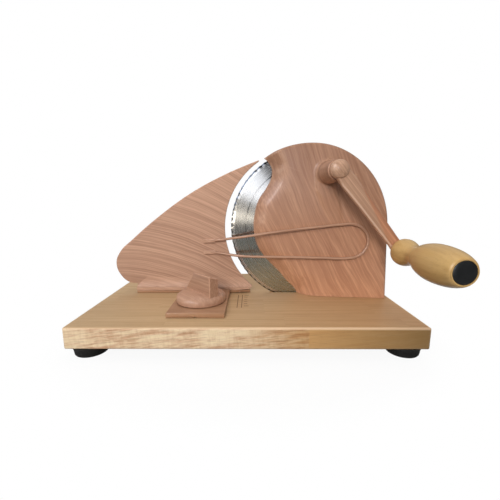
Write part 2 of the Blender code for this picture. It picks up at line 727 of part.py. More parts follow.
def make_housing_screws(parent):
    """Screws that come up through the board into the housing's lugs."""
    head = HOUSING_SCREW_HEAD_HEIGHT
    start = BOARD_BOTTOM + HOUSING_SCREW_SINK - SEAT_GAP - head
    length = BOARD_TOP + HOUSING_SCREW_GRIP - start - head
    for number, (x, y) in enumerate(lug_places(), 1):
        fixing = screw("housing_screw_%d" % number, HOUSING_SCREW_RADIUS, HOUSING_SCREW_HEAD,
                       head, length)
        place(fixing, parent, ZINC_STEEL, (x, y, start))


def make_axle(parent):
    """The fixed stud that the blade turns on, and the flat screw that keeps the blade on it."""
    front = face_height(0.0) - WALL * 0.5 - SEAT_GAP
    back = BLADE_BACK - SEAT_GAP
    hole = RETAINER_BOLT_RADIUS
    depth = RETAINER_BOLT_LENGTH
    stud = turned("blade_axle", [
        (0, back), (AXLE_RADIUS, back), (AXLE_RADIUS, front - AXLE_CHAMFER),
        (AXLE_RADIUS - AXLE_CHAMFER, front), (0, front)], 20)
    carve(stud, rod("cutter", hole, back - OVERCUT, back + depth, 16))
    place(stud, parent, ZINC_STEEL)
    seat = back - SEAT_GAP
    low = seat - RETAINER_HEIGHT
    shank = hole - BORE_GAP
    tip = back + depth - 2 * BORE_GAP
    profile = [(0, low), (RETAINER_RADIUS * 0.85, low),
               (RETAINER_RADIUS, low + RETAINER_HEIGHT * 0.4), (RETAINER_RADIUS, seat),
               (shank, seat), (shank, tip), (0, tip)]
    retainer = turned("blade_retainer", profile, 28)
    half, reach = RETAINER_SLOT_WIDTH / 2, RETAINER_RADIUS * 0.58
    carve(retainer, block("cutter", (-half, -reach, low - OVERCUT),
                          (half, reach, low + RETAINER_SLOT_DEPTH)))
    place(retainer, parent, ZINC_STEEL)


def make_blade(parent):
    """The cutting disc: flat toward the loaf, stepped and bevelled toward the user."""
    step = BLADE_FRONT - STEP_HEIGHT
    bevel_start = BLADE_RADIUS - BEVEL_WIDTH
    hub_bore = AXLE_RADIUS * 2 + BORE_GAP
    profile = [(hub_bore, BLADE_BACK), (BLADE_RADIUS, BLADE_BACK),
               (BLADE_RADIUS, BLADE_BACK + BLADE_EDGE_THICKNESS), (bevel_start, step),
               (STEP_RADIUS, step), (STEP_RADIUS, BLADE_FRONT), (hub_bore, BLADE_FRONT)]
    blade = turned("blade_disc", profile, 2 * WAVE_COUNT, bored=True)
    for vert in blade.data.vertices:
        radius = math.hypot(vert.co.x, vert.co.y)
        if radius > BLADE_RADIUS - 1e-5:
            wave = math.cos(WAVE_COUNT * math.atan2(vert.co.y, vert.co.x))
            swell = 1 - WAVE_HEIGHT * (1 - wave) / 2 / radius
            vert.co.x *= swell
            vert.co.y *= swell
    for x, y in circle(RIVET_CIRCLE, RIVET_COUNT, start=math.pi / RIVET_COUNT):
        carve(blade, shift(rod("cutter", RIVET_RADIUS + BORE_GAP, BLADE_BACK - OVERCUT,
                               BLADE_FRONT + OVERCUT, 12), (x, y, 0)))
    place(blade, parent, BLADE_STEEL, turn=CRANK_BEARING)


def make_blade_wheel(parent):
    """The large gear with its web, hub and spigot, and its bush."""
    wheel = prism("blade_wheel", gear_outline(WHEEL_TEETH), WHEEL_BACK, WHEEL_FRONT)
    hub = AXLE_RADIUS * 2.4
    inner_rim = WHEEL_PITCH_RADIUS - GEAR_MODULE * 1.25 - WHEEL_RIM
    carve(wheel, tube("cutter", hub, inner_rim, WHEEL_BACK + WHEEL_WEB, WHEEL_FRONT + OVERCUT,
                      32))
    spigot = AXLE_RADIUS * 2 - BORE_GAP
    carve(wheel, rod("spigot", spigot, BLADE_BACK, WHEEL_BACK + WHEEL_WEB / 2), "UNION")
    bush_outer = AXLE_RADIUS + RUNNING_GAP + BUSH_WALL * 0.7
    carve(wheel, rod("cutter", bush_outer + BORE_GAP, BLADE_BACK - OVERCUT,
                     WHEEL_FRONT + OVERCUT))
    for x, y in circle(RIVET_CIRCLE, RIVET_COUNT, start=math.pi / RIVET_COUNT):
        carve(wheel, shift(rod("cutter", RIVET_RADIUS + BORE_GAP, BLADE_BACK - OVERCUT,
                               WHEEL_FRONT + OVERCUT, 12), (x, y, 0)))
    place(wheel, parent, GEAR_NYLON, turn=CRANK_BEARING)
    bush = tube("blade_bush", AXLE_RADIUS + RUNNING_GAP, bush_outer, BLADE_BACK,
                WHEEL_FRONT, 20)
    place(bush, parent, BRONZE)


def make_rivets(parent):
    """Rivets that hold the blade to its wheel, turned with the wheel's holes."""
    shank, head_radius, head = RIVET_RADIUS, RIVET_HEAD_RADIUS, RIVET_HEAD_HEIGHT
    back = BLADE_BACK - SEAT_GAP
    far = WHEEL_BACK + WHEEL_WEB + SEAT_GAP
    profile = [(0, back - head), (head_radius * 0.6, back - head * 0.9),
               (head_radius, back - head * 0.25), (head_radius, back), (shank, back),
               (shank, far), (shank * 1.53, far), (shank * 1.4, far + head * 0.75),
               (0, far + head)]
    places = circle(RIVET_CIRCLE, RIVET_COUNT, start=math.pi / RIVET_COUNT + CRANK_BEARING)
    for number, (x, y) in enumerate(places, 1):
        rivet = turned("blade_rivet_%d" % number, profile, 12)
        place(rivet, parent, ZINC_STEEL, (x, y, 0))


def make_crank_bushes(parent):
    """Flanged bearings at both ends of the crank's barrel; they belong to the housing."""
    bore = SHAFT_RADIUS + RUNNING_GAP
    flange = BUSH_RADIUS + BUSH_FLANGE
    thickness = BUSH_FLANGE_THICKNESS
    front = BARREL_LENGTH + SEAT_GAP
    front_profile = [(bore, front - BUSH_LENGTH), (BUSH_RADIUS, front - BUSH_LENGTH),
                     (BUSH_RADIUS, front), (flange, front), (flange, front + thickness),
                     (bore, front + thickness)]
    back = CRANK_BOSS_BACK - SEAT_GAP
    rear_profile = [(bore, back - thickness), (flange, back - thickness), (flange, back),
                    (BUSH_RADIUS, back), (BUSH_RADIUS, back + BUSH_LENGTH),
                    (bore, back + BUSH_LENGTH)]
    for name, profile in (("crank_bush_front", front_profile), ("crank_bush_rear", rear_profile)):
        place(turned(name, profile, 20, bored=True), parent, BRONZE, CRANK_OFFSET)


def make_crank_shaft(parent):
    """The headed shaft with a flat for the pinion and one for the arm, and the pinion."""
    thread, nut_seat = SHAFT_THREAD_RADIUS, ARM_RECESS_FLOOR
    end = nut_seat + SEAT_GAP + CRANK_NUT_HEIGHT + THINNEST
    shaft = turned("crank_shaft", [
        (0, SHAFT_HEAD_BACK), (SHAFT_HEAD_RADIUS, SHAFT_HEAD_BACK),
        (SHAFT_HEAD_RADIUS, SHAFT_HEAD_FRONT), (SHAFT_RADIUS, SHAFT_HEAD_FRONT),
        (SHAFT_RADIUS, nut_seat - SEAT_GAP), (thread, nut_seat - SEAT_GAP), (thread, end),
        (0, end)], 20)
    for low, high in ((SHAFT_HEAD_FRONT, PINION_FRONT), (ARM_BACK, end)):
        carve(shaft, block("cutter", (-2 * SHAFT_RADIUS, SHAFT_FLAT, low),
                           (2 * SHAFT_RADIUS, 2 * SHAFT_RADIUS, high)))
    place(shaft, parent, ZINC_STEEL, turn=CRANK_REST)
    pinion = prism("drive_pinion", gear_outline(PINION_TEETH), PINION_BACK, PINION_FRONT)
    hole = dee_outline(SHAFT_RADIUS + BORE_GAP, SHAFT_FLAT + BORE_GAP)
    cutter = prism("cutter", hole, PINION_BACK - OVERCUT, PINION_FRONT + OVERCUT)
    half_pitch = math.pi / PINION_TEETH
    mesh_turn = CRANK_BEARING + math.pi + half_pitch
    cutter.data.transform(Matrix.Rotation(CRANK_REST - mesh_turn, 4, "Z"))
    carve(pinion, cutter)
    place(pinion, parent, GEAR_NYLON, turn=mesh_turn)
    nut_low = nut_seat + SEAT_GAP
    nut = prism("crank_nut", hexagon(NUT_WIDTH), nut_low, nut_low + CRANK_NUT_HEIGHT)
    carve(nut, rod("cutter", thread + BORE_GAP, 0.0, ARM_FRONT, 16))
    place(nut, parent, ZINC_STEEL, turn=CRANK_REST)


def make_crank_arm(parent):
    """The tapered arm, its cap, and the spindle riveted into its far end."""
    root, tip = ARM_ROOT_WIDTH / 2, ARM_TIP_WIDTH / 2
    hub = circle(ARM_HUB_RADIUS, 19, start=math.radians(50), sweep=math.radians(260))
    end = circle(tip * 1.136, 11, (CRANK_RADIUS, 0), math.radians(-85), math.radians(170))
    lower = [(ARM_HUB_RADIUS * 1.5534, -root), (CRANK_RADIUS * 0.4144, -(root * 0.45 + tip * 0.55)),
             (CRANK_RADIUS - tip * 2.034, -tip)]
    upper = [(x, -y) for x, y in reversed(lower)]
    arm = prism("crank_arm", hub + lower + end + upper, ARM_BACK, ARM_FRONT)
    bm = bmesh.new()
    bm.from_mesh(arm.data)
    flat_rims = [edge for edge in bm.edges
                 if abs(edge.verts[0].co.z - edge.verts[1].co.z) < 1e-6]
    bmesh.ops.bevel(bm, geom=flat_rims, offset=ARM_EDGE_ROUND, segments=2, profile=0.5,
                    affect="EDGES")
    bm.to_mesh(arm.data)
    bm.free()
    bore = dee_outline(SHAFT_RADIUS + BORE_GAP, SHAFT_FLAT + BORE_GAP)
    carve(arm, prism("cutter", bore, ARM_BACK - OVERCUT, ARM_FRONT))
    carve(arm, rod("cutter", ARM_RECESS_RADIUS, ARM_RECESS_FLOOR, ARM_FRONT + OVERCUT))
    hole = SPINDLE_RADIUS + BORE_GAP
    head, head_seat = SPINDLE_HEAD_RADIUS + BORE_GAP, ARM_BACK + SPINDLE_HEAD_HEIGHT
    carve(arm, shift(turned("cutter", [
        (0, ARM_BACK - OVERCUT), (head, ARM_BACK - OVERCUT), (head, head_seat),
        (hole, head_seat), (hole, ARM_FRONT + OVERCUT), (0, ARM_FRONT + OVERCUT)], 20),
        (CRANK_RADIUS, 0, 0)))
    place(arm, parent, WOOD_PRINT, turn=CRANK_REST)
    low = ARM_FRONT + SEAT_GAP
    plug, bore = CAP_PLUG_RADIUS, CAP_PLUG_RADIUS - CAP_PLUG_WALL
    cap = turned("crank_cap", [
        (0, low + CAP_HEIGHT * 0.2), (bore, low + CAP_HEIGHT * 0.2), (bore, low - CAP_PLUG_LENGTH),
        (plug, low - CAP_PLUG_LENGTH), (plug, low), (CAP_RADIUS, low),
        (CAP_RADIUS, low + CAP_HEIGHT * 0.3),
        (CAP_RADIUS * 0.93, low + CAP_HEIGHT * 0.58), (CAP_RADIUS * 0.70, low + CAP_HEIGHT * 0.86),
        (CAP_RADIUS * 0.36, low + CAP_HEIGHT * 0.98), (0, low + CAP_HEIGHT)], 28)
    place(cap, parent, WOOD_PRINT)


def make_handle(crank, handle):
    """The turned grip on its spindle, with washer, nut and end cap."""
    seat = HANDLE_FRONT - SPINDLE_RECESS
    washer = HANDLE_WASHER_THICKNESS
    nut = HANDLE_NUT_HEIGHT
    end = seat + RUNNING_GAP * 2 + washer + nut + SPINDLE_END
    low = ARM_BACK + SEAT_GAP
    head_top = ARM_BACK + SPINDLE_HEAD_HEIGHT - SEAT_GAP
    spindle = turned("handle_spindle", [
        (0, low), (SPINDLE_HEAD_RADIUS, low), (SPINDLE_HEAD_RADIUS, head_top),
        (SPINDLE_RADIUS, head_top), (SPINDLE_RADIUS, end - SPINDLE_RADIUS * 0.2),
        (SPINDLE_RADIUS * 0.8, end), (0, end)], 18)
    place(spindle, crank, ZINC_STEEL, handle.location)
    washer_low = seat + RUNNING_GAP
    place(tube("handle_washer", SPINDLE_RADIUS + BORE_GAP, HANDLE_WASHER_RADIUS, washer_low,
               washer_low + washer, 18), crank, ZINC_STEEL, handle.location)
    nut_low = washer_low + washer + SEAT_GAP
    lock_nut = prism("handle_nut", hexagon(NUT_WIDTH), nut_low, nut_low + nut)
    carve(lock_nut, rod("cutter", SPINDLE_RADIUS + BORE_GAP, nut_low - OVERCUT,
                        nut_low + nut + OVERCUT, 16))
    place(lock_nut, crank, ZINC_STEEL, handle.location)

    length = HANDLE_LENGTH
    ball = BALL_RADIUS
    stations = [(ball * 0.66, 0.0), (ball * 0.92, ball * 0.157), (ball, ball * 0.5),
                (ball * 0.93, ball * 0.893), (NECK_RADIUS * 1.08, length * 0.205),
                (NECK_RADIUS, length * 0.27), (NECK_RADIUS * 1.13, length * 0.345),
                (BELLY_RADIUS * 0.80, length * 0.43),
                (BELLY_RADIUS * 0.93, length * 0.52), (BELLY_RADIUS * 0.99, length * 0.61),
                (BELLY_RADIUS, length * 0.69), (BELLY_RADIUS * 0.965, length * 0.79),
                (BELLY_RADIUS * 0.89, length * 0.88), (HANDLE_END_RADIUS * 1.10, length * 0.955),
                (HANDLE_END_RADIUS * 0.97, length * 0.989),
                (HANDLE_CAP_RADIUS * 0.56 + HANDLE_END_RADIUS * 0.44, length)]
    outer = [(radius, HANDLE_BACK + height) for radius, height in stations]
    bore = SPINDLE_RADIUS + RUNNING_GAP
    well = HANDLE_WELL_RADIUS
    cap_seat = HANDLE_FRONT - HANDLE_CAP_THICKNESS
    cap_hole = HANDLE_CAP_RADIUS + BORE_GAP
    inner = [(cap_hole, HANDLE_FRONT), (cap_hole, cap_seat), (well, cap_seat), (well, seat),
             (bore, seat), (bore, HANDLE_BACK)]
    grip = turned("handle_grip", outer + inner, 24, bored=True)
    place(grip, handle, TURNED_WOOD)
    cap_low = cap_seat + SEAT_GAP
    plug_low = cap_low - HANDLE_PLUG_LENGTH
    plug, hollow = well - BORE_GAP, well - HANDLE_PLUG_WALL
    cap = turned("handle_cap", [
        (0, cap_low), (hollow, cap_low), (hollow, plug_low), (plug, plug_low), (plug, cap_low),
        (HANDLE_CAP_RADIUS, cap_low), (HANDLE_CAP_RADIUS, HANDLE_CAP_CREST - CAP_DOME * 1.3),
        (HANDLE_CAP_RADIUS - CAP_DOME, HANDLE_CAP_CREST - CAP_DOME * 0.3),
        (0, HANDLE_CAP_CREST)], 28)
    place(cap, handle, BLACK_PLASTIC)


def prong_places():
    """Where the wire's two ends enter the fence: height over the board and rise per x."""
    return [(PRONG_HIGH, 0.05), (PRONG_LOW, 0.02)]


def fence_outline():
    """The fence plate from the user's side, as x and height over the board.

    The top edge is listed in shares of the way from the plate's left end to its tip, and the
    round left end in shares of its overhang past the foot. Both rise from the foot's top.
    """
    reach = FENCE_ARC_RADIUS + FENCE_TIP_WIDTH
    tip_x = FENCE_ARC_X + reach * math.cos(FENCE_TIP_BEARING)
    tip_height = FENCE_ARC_HEIGHT + reach * math.sin(FENCE_TIP_BEARING)
    left = FENCE_FOOT_LEFT - FENCE_BULGE
    span, rise = tip_x - left, tip_height - FENCE_FOOT_TOP
    edge = [(left + span * across, FENCE_FOOT_TOP + rise * up) for across, up in (
        (1.0, 1.0), (0.8958, 0.9528), (0.7586, 0.8829), (0.5502, 0.7529), (0.3357, 0.5789),
        (0.1135, 0.3629))]
    end = [(left + FENCE_BULGE * across, FENCE_FOOT_TOP + rise * up) for across, up in (
        (0.2597, 0.2781), (0.0, 0.1746), (0.2597, 0.0569), (0.6512, 0.0091), (0.9612, 0.0026))]
    top = smooth_path(edge + end, 3)
    foot, right, corner = FENCE_FOOT_LOW, FENCE_FOOT_RIGHT, FENCE_FOOT_ROUND
    inner = FENCE_ARC_X - FENCE_ARC_RADIUS * 0.4
    rest = [(FENCE_FOOT_LEFT, FENCE_FOOT_TOP), (FENCE_FOOT_LEFT, foot), (right - corner, foot),
            (right - corner * 0.27, foot + corner * 0.33), (right, foot + corner),
            (right, FENCE_FOOT_TOP), (inner, FENCE_ARC_HEIGHT - FENCE_ARC_RADIUS * 0.35),
            (inner, FENCE_ARC_HEIGHT + FENCE_ARC_RADIUS * 0.36)]
    return [tuple(point) for point in top] + rest


def make_fence(parent):
    """The stop plate with its coved foot, its carriage and the screws between them."""
    upright = Matrix.Rotation(math.pi / 2, 4, "X")
    back, front, foot_front = FENCE_BACK, FENCE_FRONT, FENCE_FOOT_FRONT
    fence = prism("fence_plate", fence_outline(), 0.0, FENCE_THICKNESS)
    fence.data.transform(Matrix.Translation((0, back, 0)) @ upright)
    cove_top = FENCE_FOOT_HEIGHT + COVE_HEIGHT
    cove_back = back - FENCE_THICKNESS / 3
    section = [(cove_back, FENCE_FOOT_LOW), (foot_front, FENCE_FOOT_LOW),
               (foot_front, FENCE_FOOT_HEIGHT)]
    reach = front - foot_front
    for step in (0.12, 0.35, 0.65, 1.0):
        section.append((foot_front + reach * (1 - (1 - step) ** 2),
                        FENCE_FOOT_HEIGHT + COVE_HEIGHT * step ** 1.6))
    section.append((cove_back, cove_top))
    cove = prism("cove", section, FENCE_FOOT_LEFT, FENCE_FOOT_RIGHT - FENCE_FOOT_ROUND * 0.07)
    cove.data.transform(Matrix(((0, 0, 1, 0), (1, 0, 0, 0), (0, 1, 0, 0), (0, 0, 0, 1))))
    carve(fence, cove, "UNION")
    disc = rod("cutter", FENCE_ARC_RADIUS, -2 * FENCE_FOOT_DEPTH, 2 * FENCE_FOOT_DEPTH, 120)
    disc.data.transform(Matrix.Translation((FENCE_ARC_X, BLADE_Y, FENCE_ARC_HEIGHT)) @ upright)
    carve(fence, disc)
    for height, rise in prong_places():
        half = PRONG_BLOCK_HEIGHT / 2
        sleeve = block("sleeve", (-PRONG_BLOCK_LENGTH / 2, -half, -FENCE_THICKNESS / 6),
                       (PRONG_BLOCK_LENGTH / 2, half, PRONG_BLOCK_DEPTH))
        for vert in sleeve.data.vertices:
            if vert.co.z > 0:
                vert.co.x *= 0.82 if vert.co.x < 0 else 0.97
                vert.co.y *= 0.62
        turn = Matrix.Rotation(math.atan(rise), 4, "Z")
        sleeve.data.transform(Matrix.Translation((PRONG_X + PRONG_BLOCK_LENGTH / 2, front, height))
                              @ upright @ turn)
        carve(fence, sleeve, "UNION")
    for wire in wire_runs(WIRE_RADIUS + BORE_GAP, whole=False):
        carve(fence, wire)
    head = FENCE_SCREW_HEAD_HEIGHT
    screw_xs = (FENCE_FOOT_LEFT + FENCE_SCREW_LEFT_INSET,
                FENCE_FOOT_LEFT + FENCE_SCREW_LEFT_INSET + FENCE_SCREW_SPACING,
                FENCE_FOOT_RIGHT - FENCE_SCREW_RIGHT_INSET)
    for x in screw_xs:
        hole = rod("cutter", FENCE_SCREW_RADIUS + BORE_GAP, 0.0,
                   FENCE_SCREW_SINK + head + FENCE_SCREW_LENGTH + 2 * BORE_GAP, 12)
        carve(fence, shift(hole, (x, FENCE_SCREW_Y, 0)))
    place(fence, parent, WOOD_PRINT, (0, 0, BOARD_TOP))

    carriage = block("fence_carriage", (FENCE_FOOT_LEFT, foot_front, SEAT_GAP),
                     (FENCE_FOOT_RIGHT - FENCE_FOOT_ROUND, back, STRIP_HEIGHT))
    left = KNOB_X - TONGUE_WIDTH / 2
    tongue = block("tongue", (left, -TONGUE_LENGTH, SEAT_GAP),
                   (left + TONGUE_WIDTH, foot_front - SEAT_GAP, TONGUE_THICKNESS))
    carve(carriage, tongue, "UNION")
    lap = FENCE_FOOT_DEPTH * 0.3
    bridge = block("bridge", (left, foot_front - lap, SEAT_GAP),
                   (left + TONGUE_WIDTH, foot_front + lap, STRIP_HEIGHT))
    carve(carriage, bridge, "UNION")
    guide = prism("guide", slot_outline(GUIDE_WIDTH, GUIDE_LENGTH, (KNOB_X, KNOB_Y)),
                  -GUIDE_DEPTH, TONGUE_THICKNESS * 0.8)
    carve(carriage, guide, "UNION")
    carve(carriage, shift(rod("cutter", CLAMP_BOLT_RADIUS + BORE_GAP, -GUIDE_DEPTH - OVERCUT,
                              TONGUE_THICKNESS + OVERCUT, 16), (KNOB_X, KNOB_Y, 0)))
    carve(carriage, shift(rod("cutter", NOTCH_RADIUS, 0.0, NOTCH_HEIGHT, 10),
                          (KNOB_X, -TONGUE_LENGTH, 0)))
    well, bore = FENCE_SCREW_HEAD + BORE_GAP, FENCE_SCREW_RADIUS + BORE_GAP
    floor = FENCE_SCREW_SINK + head + SEAT_GAP
    for number, x in enumerate(screw_xs, 1):
        hole = turned("cutter", [(0, 0), (well, 0), (well, floor), (bore, floor),
                                 (bore, STRIP_HEIGHT + OVERCUT), (0, STRIP_HEIGHT + OVERCUT)], 12)
        carve(carriage, shift(hole, (x, FENCE_SCREW_Y, 0)))
        fixing = screw("fence_screw_%d" % number, FENCE_SCREW_RADIUS, FENCE_SCREW_HEAD, head,
                       FENCE_SCREW_LENGTH)
        place(fixing, parent, ZINC_STEEL, (x, FENCE_SCREW_Y, BOARD_TOP + FENCE_SCREW_SINK))
    place(carriage, parent, WOOD_PRINT, (0, 0, BOARD_TOP))


def wire_route():
    """The wire's middle line as x, y and height over the board, from one end to the other.

    It is listed in shares: across from the fence to the wire's right end, forward from the
    fence to where the wire stands off the housing, and up between two heights for the upper
    leg, the bend and the lower leg.
    """
    start_y = FENCE_FRONT - PRONG_OFFSET
    end_x = BLADE_X + RIM_RADIUS - WIRE_END_INSET
    far_y = BLADE_Y - face_height(end_x - BLADE_X) - WIRE_STANDOFF
    first_x = PRONG_X + PRONG_START
    upper_start, lower_start = [height + rise * PRONG_START * 2 for height, rise in prong_places()]
    upper = ((0.0, 0.0, 0.0), (0.0318, 0.008, 0.0), (0.0832, 0.073, 0.0452),
             (0.1654, 0.3036, 0.1719), (0.2681, 0.5870, 0.3303), (0.4119, 0.7368, 0.5385), (0.5865, 0.8178, 0.7421),
             (0.7252, 0.8826, 0.8869), (0.8433, 0.9352, 1.0), (0.9178, 0.9676, 1.0))
    bend = ((0.9718, 0.9879, 0.8511), (1.0, 1.0, 0.5782), (0.9913, 0.9960, 0.2928),
            (0.9461, 0.9757, 0.0695))
    lower = ((0.8844, 0.9514, 0.0), (0.7304, 0.8826, 0.0), (0.5865, 0.8178, 0.1389),
             (0.4119, 0.7368, 0.2222), (0.2681, 0.5870, 0.2222), (0.1757, 0.3239, 0.3056),
             (0.0935, 0.0810, 0.7222), (0.0318, 0.008, 1.0), (0.0, 0.0, 1.0))
    legs = ((upper, upper_start, WIRE_TOP), (bend, WIRE_BOTTOM, WIRE_TOP),
            (lower, WIRE_BOTTOM, lower_start))
    return [(first_x + (end_x - first_x) * across, start_y + (far_y - start_y) * forward,
             low + (high - low) * up) for leg, low, high in legs for across, forward, up in leg]


def wire_curve(name, points, radius, segments):
    """Sweep a round section along points, with filled ends."""
    data = bpy.data.curves.new(name, "CURVE")
    data.dimensions = "3D"
    data.bevel_depth = radius
    data.bevel_resolution = segments
    data.use_fill_caps = True
    spline = data.splines.new("POLY")
    spline.points.add(len(points) - 1)
    for knot, point in zip(spline.points, points):
        knot.co = (*point, 1.0)
    made = bpy.data.objects.new(name, data)
    bpy.context.scene.collection.objects.link(made)
    return made


def wire_runs(radius, whole=True):
    """The whole wire as a mesh, or only the stretches in the fence as cutters."""
    route = wire_route()
    path = smooth_path(route, 2)
    if whole:
        runs = [path]
    else:
        runs = []
        for stretch in (path[:5], path[-5:]):
            out = Vector((-SEAT_GAP, 0, 0))
            runs.append([point + out if index in (0, len(stretch) - 1) else point
                         for index, point in enumerate(stretch)])
    made = []
    for run in runs:
        curve = wire_curve("run", run, radius, 2)
        graph = bpy.context.evaluated_depsgraph_get()
        mesh = bpy.data.meshes.new_from_object(curve.evaluated_get(graph), depsgraph=graph)
        bpy.data.objects.remove(curve, do_unlink=True)
        bm = bmesh.new()
        bm.from_mesh(mesh)
        bpy.data.meshes.remove(mesh)
        bmesh.ops.remove_doubles(bm, verts=bm.verts, dist=1e-6)
        made.append(mesh_object("run", bm))
    return made


def make_wire(parent):
    """The hairpin of wire in front of the blade, both ends set in the fence."""
    wire = wire_runs(WIRE_RADIUS)[0]
    wire.name = "wire_guard"
    place(wire, parent, WOOD_PRINT, (0, 0, BOARD_TOP))


def make_clamp(parent):
    """The bolt through the board's slot and the washer under it."""
    ceiling = BOARD_BOTTOM + RECESS_DEPTH
    washer_top = ceiling - SEAT_GAP
    washer_low = washer_top - WASHER_THICKNESS
    washer = tube("clamp_washer", CLAMP_BOLT_RADIUS + BORE_GAP, WASHER_RADIUS, washer_low,
                  washer_top)
    place(washer, parent, ZINC_STEEL, (KNOB_X, KNOB_Y, 0))
    head_top = washer_low - SEAT_GAP
    head_low = head_top - CLAMP_BOLT_HEAD_HEIGHT
    radius, head, end = CLAMP_BOLT_RADIUS, CLAMP_BOLT_HEAD_RADIUS, CLAMP_BOLT_END
    bolt = turned("clamp_bolt", [
        (0, head_low), (head * 0.83, head_low), (head, head_low + head * 0.17), (head, head_top),
        (radius, head_top), (radius, end - radius * 0.2), (radius * 0.8, end), (0, end)], 20)
    place(bolt, parent, ZINC_STEEL, (KNOB_X, KNOB_Y, 0))


def make_knob(parent):
    """The round knob with its wedge-shaped grip, and the threaded insert in it."""
    low = BOARD_TOP + KNOB_BASE
    top = low + KNOB_BASE_HEIGHT
    rim, dome = low + KNOB_RIM_HEIGHT, KNOB_BASE_HEIGHT - KNOB_RIM_HEIGHT
    knob = turned("thickness_knob", [
        (0, low), (KNOB_RADIUS * 0.979, low), (KNOB_RADIUS, low + KNOB_RIM_HEIGHT * 0.14),
        (KNOB_RADIUS, rim), (KNOB_RADIUS * 0.975, rim + dome * 0.32),
        (KNOB_RADIUS * 0.90, rim + dome * 0.62), (KNOB_RADIUS * 0.76, rim + dome * 0.88),
        (KNOB_RADIUS * 0.5, top), (0, top)], 36)
    half = GRIP_LENGTH / 2
    crest = low + KNOB_TOP
    side = [(-half, low + GRIP_FOOT), (half, low + GRIP_FOOT), (half, rim + GRIP_FOOT),
            (GRIP_CREST - half, crest), (-half, crest)]
    grip = prism("grip", side, -GRIP_THICKNESS / 2, GRIP_THICKNESS / 2)
    grip.data.transform(Matrix.Rotation(math.pi / 2, 4, "X"))
    bm = bmesh.new()
    bm.from_mesh(grip.data)
    bmesh.ops.bevel(bm, geom=bm.edges, offset=GRIP_ROUND, segments=1, profile=0.5,
                    affect="EDGES")
    bm.to_mesh(grip.data)
    bm.free()
    carve(knob, grip, "UNION")
    insert_top = CLAMP_BOLT_END + INSERT_CREST
    carve(knob, prism("cutter", hexagon(INSERT_WIDTH + 2 * BORE_GAP), low - OVERCUT,
                      insert_top + SEAT_GAP))
    place(knob, parent, WOOD_PRINT, (0, 0, 0), GRIP_TURN)
    insert = prism("knob_insert", hexagon(INSERT_WIDTH), low + THINNEST, insert_top)
    carve(insert, rod("cutter", CLAMP_BOLT_RADIUS + BORE_GAP, low - OVERCUT,
                      CLAMP_BOLT_END + INSERT_CREST * 0.4, 16))
    place(insert, parent, BRONZE, (0, 0, 0), GRIP_TURN)


def main():
    """Build the slicer about the middle of its outer box, standing on z = 0."""
    clear_scene()
    handle_x = CRANK_X + CRANK_RADIUS * math.cos(CRANK_REST)
    left, right = -BOARD_LENGTH / 2, max(BOARD_LENGTH / 2, handle_x + BELLY_RADIUS)
    front, back = BLADE_Y - HANDLE_CAP_CREST, BOARD_DEPTH / 2
    slicer = empty("slicer", None, (-(left + right) / 2, -(front + back) / 2, 0))
    blade_axis = empty("blade_axis", slicer, (BLADE_X, BLADE_Y, BLADE_Z), True)
    crank_axis = empty("crank_axis", slicer, (CRANK_X, BLADE_Y, CRANK_Z), True)
    handle_axis = empty("handle_axis", crank_axis, (CRANK_RADIUS * math.cos(CRANK_REST),
                                                    CRANK_RADIUS * math.sin(CRANK_REST), 0))
    fence_slide = empty("fence_slide", slicer, (0, 0, 0))
    knob_axis = empty("knob_axis", fence_slide, (KNOB_X, KNOB_Y, 0))

    make_board(slicer)
    make_feet(slicer)
    make_housing(blade_axis)
    make_housing_screws(slicer)
    make_axle(blade_axis)
    make_blade(blade_axis)
    make_blade_wheel(blade_axis)
    make_rivets(blade_axis)
    make_crank_bushes(blade_axis)
    make_crank_shaft(crank_axis)
    make_crank_arm(crank_axis)
    make_handle(crank_axis, handle_axis)
    make_fence(fence_slide)
    make_wire(fence_slide)
    make_clamp(fence_slide)
    make_knob(knob_axis)


main()
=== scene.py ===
"""Looks of a hand crank bread slicer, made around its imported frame.

Lengths are metres in the frame's own axes: X along the board, Y away from the user, Z up.
Pieces on the blade's, the crank's and the grip's axes are made along their own +Z, which then
points at the user.
"""
import math

import bmesh
import bpy
from bpy.props import FloatProperty, FloatVectorProperty, IntProperty, PointerProperty
from bpy.types import Operator, Panel, PropertyGroup
from mathutils import Matrix, Vector, kdtree


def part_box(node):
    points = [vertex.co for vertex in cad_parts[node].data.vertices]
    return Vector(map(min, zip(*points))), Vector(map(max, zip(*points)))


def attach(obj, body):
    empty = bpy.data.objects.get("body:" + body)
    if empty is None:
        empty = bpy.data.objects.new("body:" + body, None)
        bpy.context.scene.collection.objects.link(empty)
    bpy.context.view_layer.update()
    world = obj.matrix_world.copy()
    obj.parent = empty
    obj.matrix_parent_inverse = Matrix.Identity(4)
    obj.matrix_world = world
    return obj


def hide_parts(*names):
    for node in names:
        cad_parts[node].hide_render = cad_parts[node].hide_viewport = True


bl_info = {
    "name": "Bread slicer looks",
    "version": (1, 0, 0),
    "blender": (4, 5, 0),
    "location": "3D View > Sidebar > Slicer",
    "description": "Finished pieces, finishes, lights and camera for a hand crank bread slicer",
    "category": "Object",
}

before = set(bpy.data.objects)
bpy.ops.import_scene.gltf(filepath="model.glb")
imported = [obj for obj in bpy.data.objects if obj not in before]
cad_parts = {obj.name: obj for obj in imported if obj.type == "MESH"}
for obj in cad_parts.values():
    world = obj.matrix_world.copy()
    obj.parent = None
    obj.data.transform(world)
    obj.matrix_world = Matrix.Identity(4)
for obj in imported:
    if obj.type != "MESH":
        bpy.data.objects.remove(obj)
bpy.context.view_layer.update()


def centre_of(node):
    """Middle of a frame node's box."""
    low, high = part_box(node)
    return (low + high) / 2


def half_width(node):
    """Half of a frame node's length along X."""
    low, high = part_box(node)
    return (high.x - low.x) / 2


